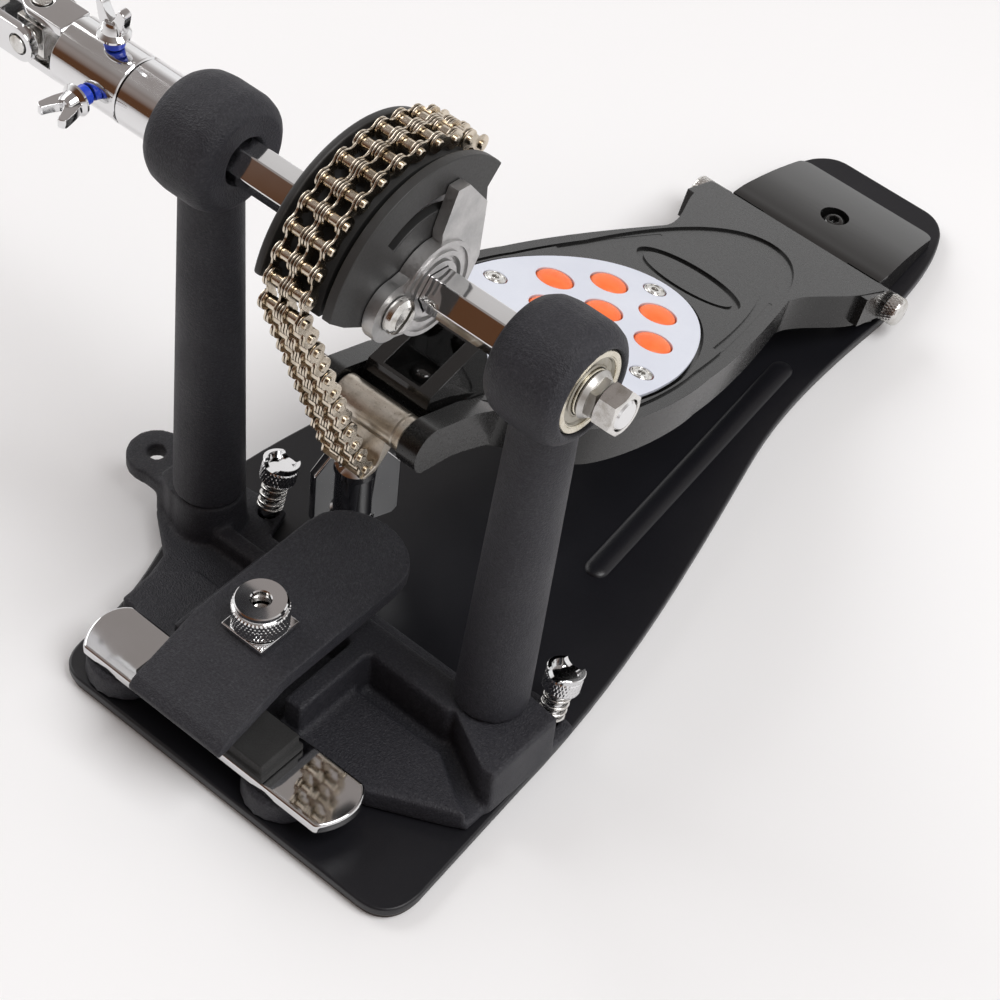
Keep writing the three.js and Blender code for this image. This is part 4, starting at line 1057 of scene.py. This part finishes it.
def drive_joint():
    housing_left = TOWERS["left"] - HOUSING_LENGTH / 2
    collar = tube(housing_left - 12.5, housing_left - 0.4, JOURNAL_R + 0.3)
    piece(moved(collar, AT_SHAFT), "rocker", "chrome", "shaft_collar")
    end = housing_left - 12.8
    sleeve = turned_x([(-102, 0), (-102, 8.5), (-101.2, TUBE_R), (end - 0.5, TUBE_R), (end, 8.8), (end, 4.3),
                       (-96, 4.3), (-96, 0)], 96)
    screw_holes = [rod((YOKE_SCREW_X, 0, 5), (YOKE_SCREW_X, 0, 12), 2.1), rod((YOKE_SCREW_X, -12, 0),
                                                                              (YOKE_SCREW_X, -5, 0), 2.1)]
    inner = gathered(eased(cut(sleeve, *screw_holes), 0.2, 2), *[yoke_arm(s, -101.6, 0) for s in (-1, 1)])
    piece(moved(inner, AT_SHAFT), "rocker", "chrome", "inner_yoke")
    socket = turned_x([(-146, 6.0), (-146, 8.8), (-145.5, TUBE_R), (-124.8, TUBE_R), (-124, 8.5), (-124, 0),
                       (-128, 0), (-128, 6.0), (-146, 6.0)], 96)
    outer = gathered(socket, *[yoke_arm(s, -124.4, 90) for s in (-1, 1)])
    piece(moved(outer, AT_SHAFT), "outer_joint", "chrome", "outer_yoke")
    piece(eased(node_copy("joint_cross"), 0.4, 2), "cross", "steel", "joint_cross")
    for end, turn in (("upper", 0.0), ("front", math.pi / 2)):
        wing_screw(end + "_wing", end + "_wing_screw", turn)
        nylon_washer(end + "_nylon_washer", turn)


# ---- stage: floor, lights, camera ----
CAMERA_AT = Vector((298.0, -363.52, 590.93)) * MM
CAMERA_TARGET = Vector((26.45, 21.38, 60.0)) * MM
CAMERA_ROLL = 0.1234
LENS = 100.36


def stage_floor():
    size = 6.0
    mesh = bpy.data.meshes.new("floor")
    corners = [(-size, -size, 0), (size, -size, 0), (size, size, 0), (-size, size, 0)]
    mesh.from_pydata(corners, [], [(0, 1, 2, 3)])
    floor = bpy.data.objects.new("floor", mesh)
    bpy.context.scene.collection.objects.link(floor)
    floor.location.z = -0.0002
    look = Look("pale_floor", 0.0, 0.75, Specular_IOR_Level=0.2)
    look.colour(look.ramp(look.noise(3, 2), (0.3, (0.91, 0.915, 0.925)), (0.7, (0.93, 0.935, 0.945))))
    mesh.materials.append(look.material)


def area_light(name, at, target, size, power):
    data = bpy.data.lights.new(name, "AREA")
    data.shape = "RECTANGLE"
    data.size, data.size_y = size
    data.energy = power
    light = bpy.data.objects.new(name, data)
    light.location = at
    light.rotation_euler = (Vector(target) - Vector(at)).to_track_quat("-Z", "Y").to_euler()
    bpy.context.scene.collection.objects.link(light)


def lights():
    world = bpy.data.worlds.new("studio")
    bpy.context.scene.world = world
    world.use_nodes = True
    tree = world.node_tree
    place = tree.nodes.new("ShaderNodeTexCoord")
    split = tree.nodes.new("ShaderNodeSeparateXYZ")
    ramp = tree.nodes.new("ShaderNodeValToRGB")
    tree.links.new(place.outputs["Generated"], split.inputs["Vector"])
    tree.links.new(split.outputs["Z"], ramp.inputs["Fac"])
    band = ramp.color_ramp
    while len(band.elements) < 4:
        band.elements.new(0.5)
    tones = ((0.0, 1.0, 1.0), (0.34, 1.0, 0.98), (0.62, 0.36, 0.88), (1.0, 0.3, 0.85))
    for element, (where, tone, warm) in zip(band.elements, tones):
        element.position = where
        element.color = (tone, tone * (0.3 + 0.7 * warm), tone * warm, 1)
    behind = tree.nodes.new("ShaderNodeMapRange")
    for key, value in zip(("From Min", "From Max", "To Min", "To Max"), (-0.78, -0.42, 1.0, 0.0)):
        behind.inputs[key].default_value = value
    tree.links.new(split.outputs["Y"], behind.inputs["Value"])
    shade = tree.nodes.new("ShaderNodeMix")
    shade.data_type = "RGBA"
    tree.links.new(behind.outputs["Result"], shade.inputs["Factor"])
    tree.links.new(ramp.outputs["Color"], shade.inputs["A"])
    shade.inputs["B"].default_value = (0.11, 0.05, 0.025, 1)
    tree.links.new(shade.outputs["Result"], tree.nodes["Background"].inputs["Color"])
    tree.nodes["Background"].inputs["Strength"].default_value = 1.0
    bpy.context.scene.view_settings.view_transform = "Standard"
    area_light("key", (0.9, 0.1, 1.5), (0, 0.08, 0.05), (0.9, 0.9), 18)
    area_light("fill", (-1.3, 0.1, 1.1), (0, 0.08, 0.05), (1.2, 0.8), 9)


def camera():
    data = bpy.data.cameras.new("camera")
    data.sensor_width = 36.0
    data.lens = LENS
    data.clip_start = 0.01
    obj = bpy.data.objects.new("camera", data)
    ahead = (CAMERA_TARGET - CAMERA_AT).normalized()
    right = ahead.cross(Vector((0, 0, 1))).normalized()
    up = right.cross(ahead)
    c, s = math.cos(CAMERA_ROLL), math.sin(CAMERA_ROLL)
    x_axis, y_axis = c * right + s * up, c * up - s * right
    turn = Matrix((x_axis, y_axis, -ahead)).transposed().to_4x4()
    obj.matrix_world = Matrix.Translation(CAMERA_AT) @ turn
    bpy.context.scene.collection.objects.link(obj)
    bpy.context.scene.camera = obj


camera()
lights()
stage_floor()
base()
castings()
for tower_name in TOWERS:
    bearing(tower_name)
    spur(tower_name)
shaft()
cam()
cam_clamp()
chain()
footboard()
traction()
toe_block()
cradle()
heel()
hoop_clamp()
wing_bolt()
drive_joint()
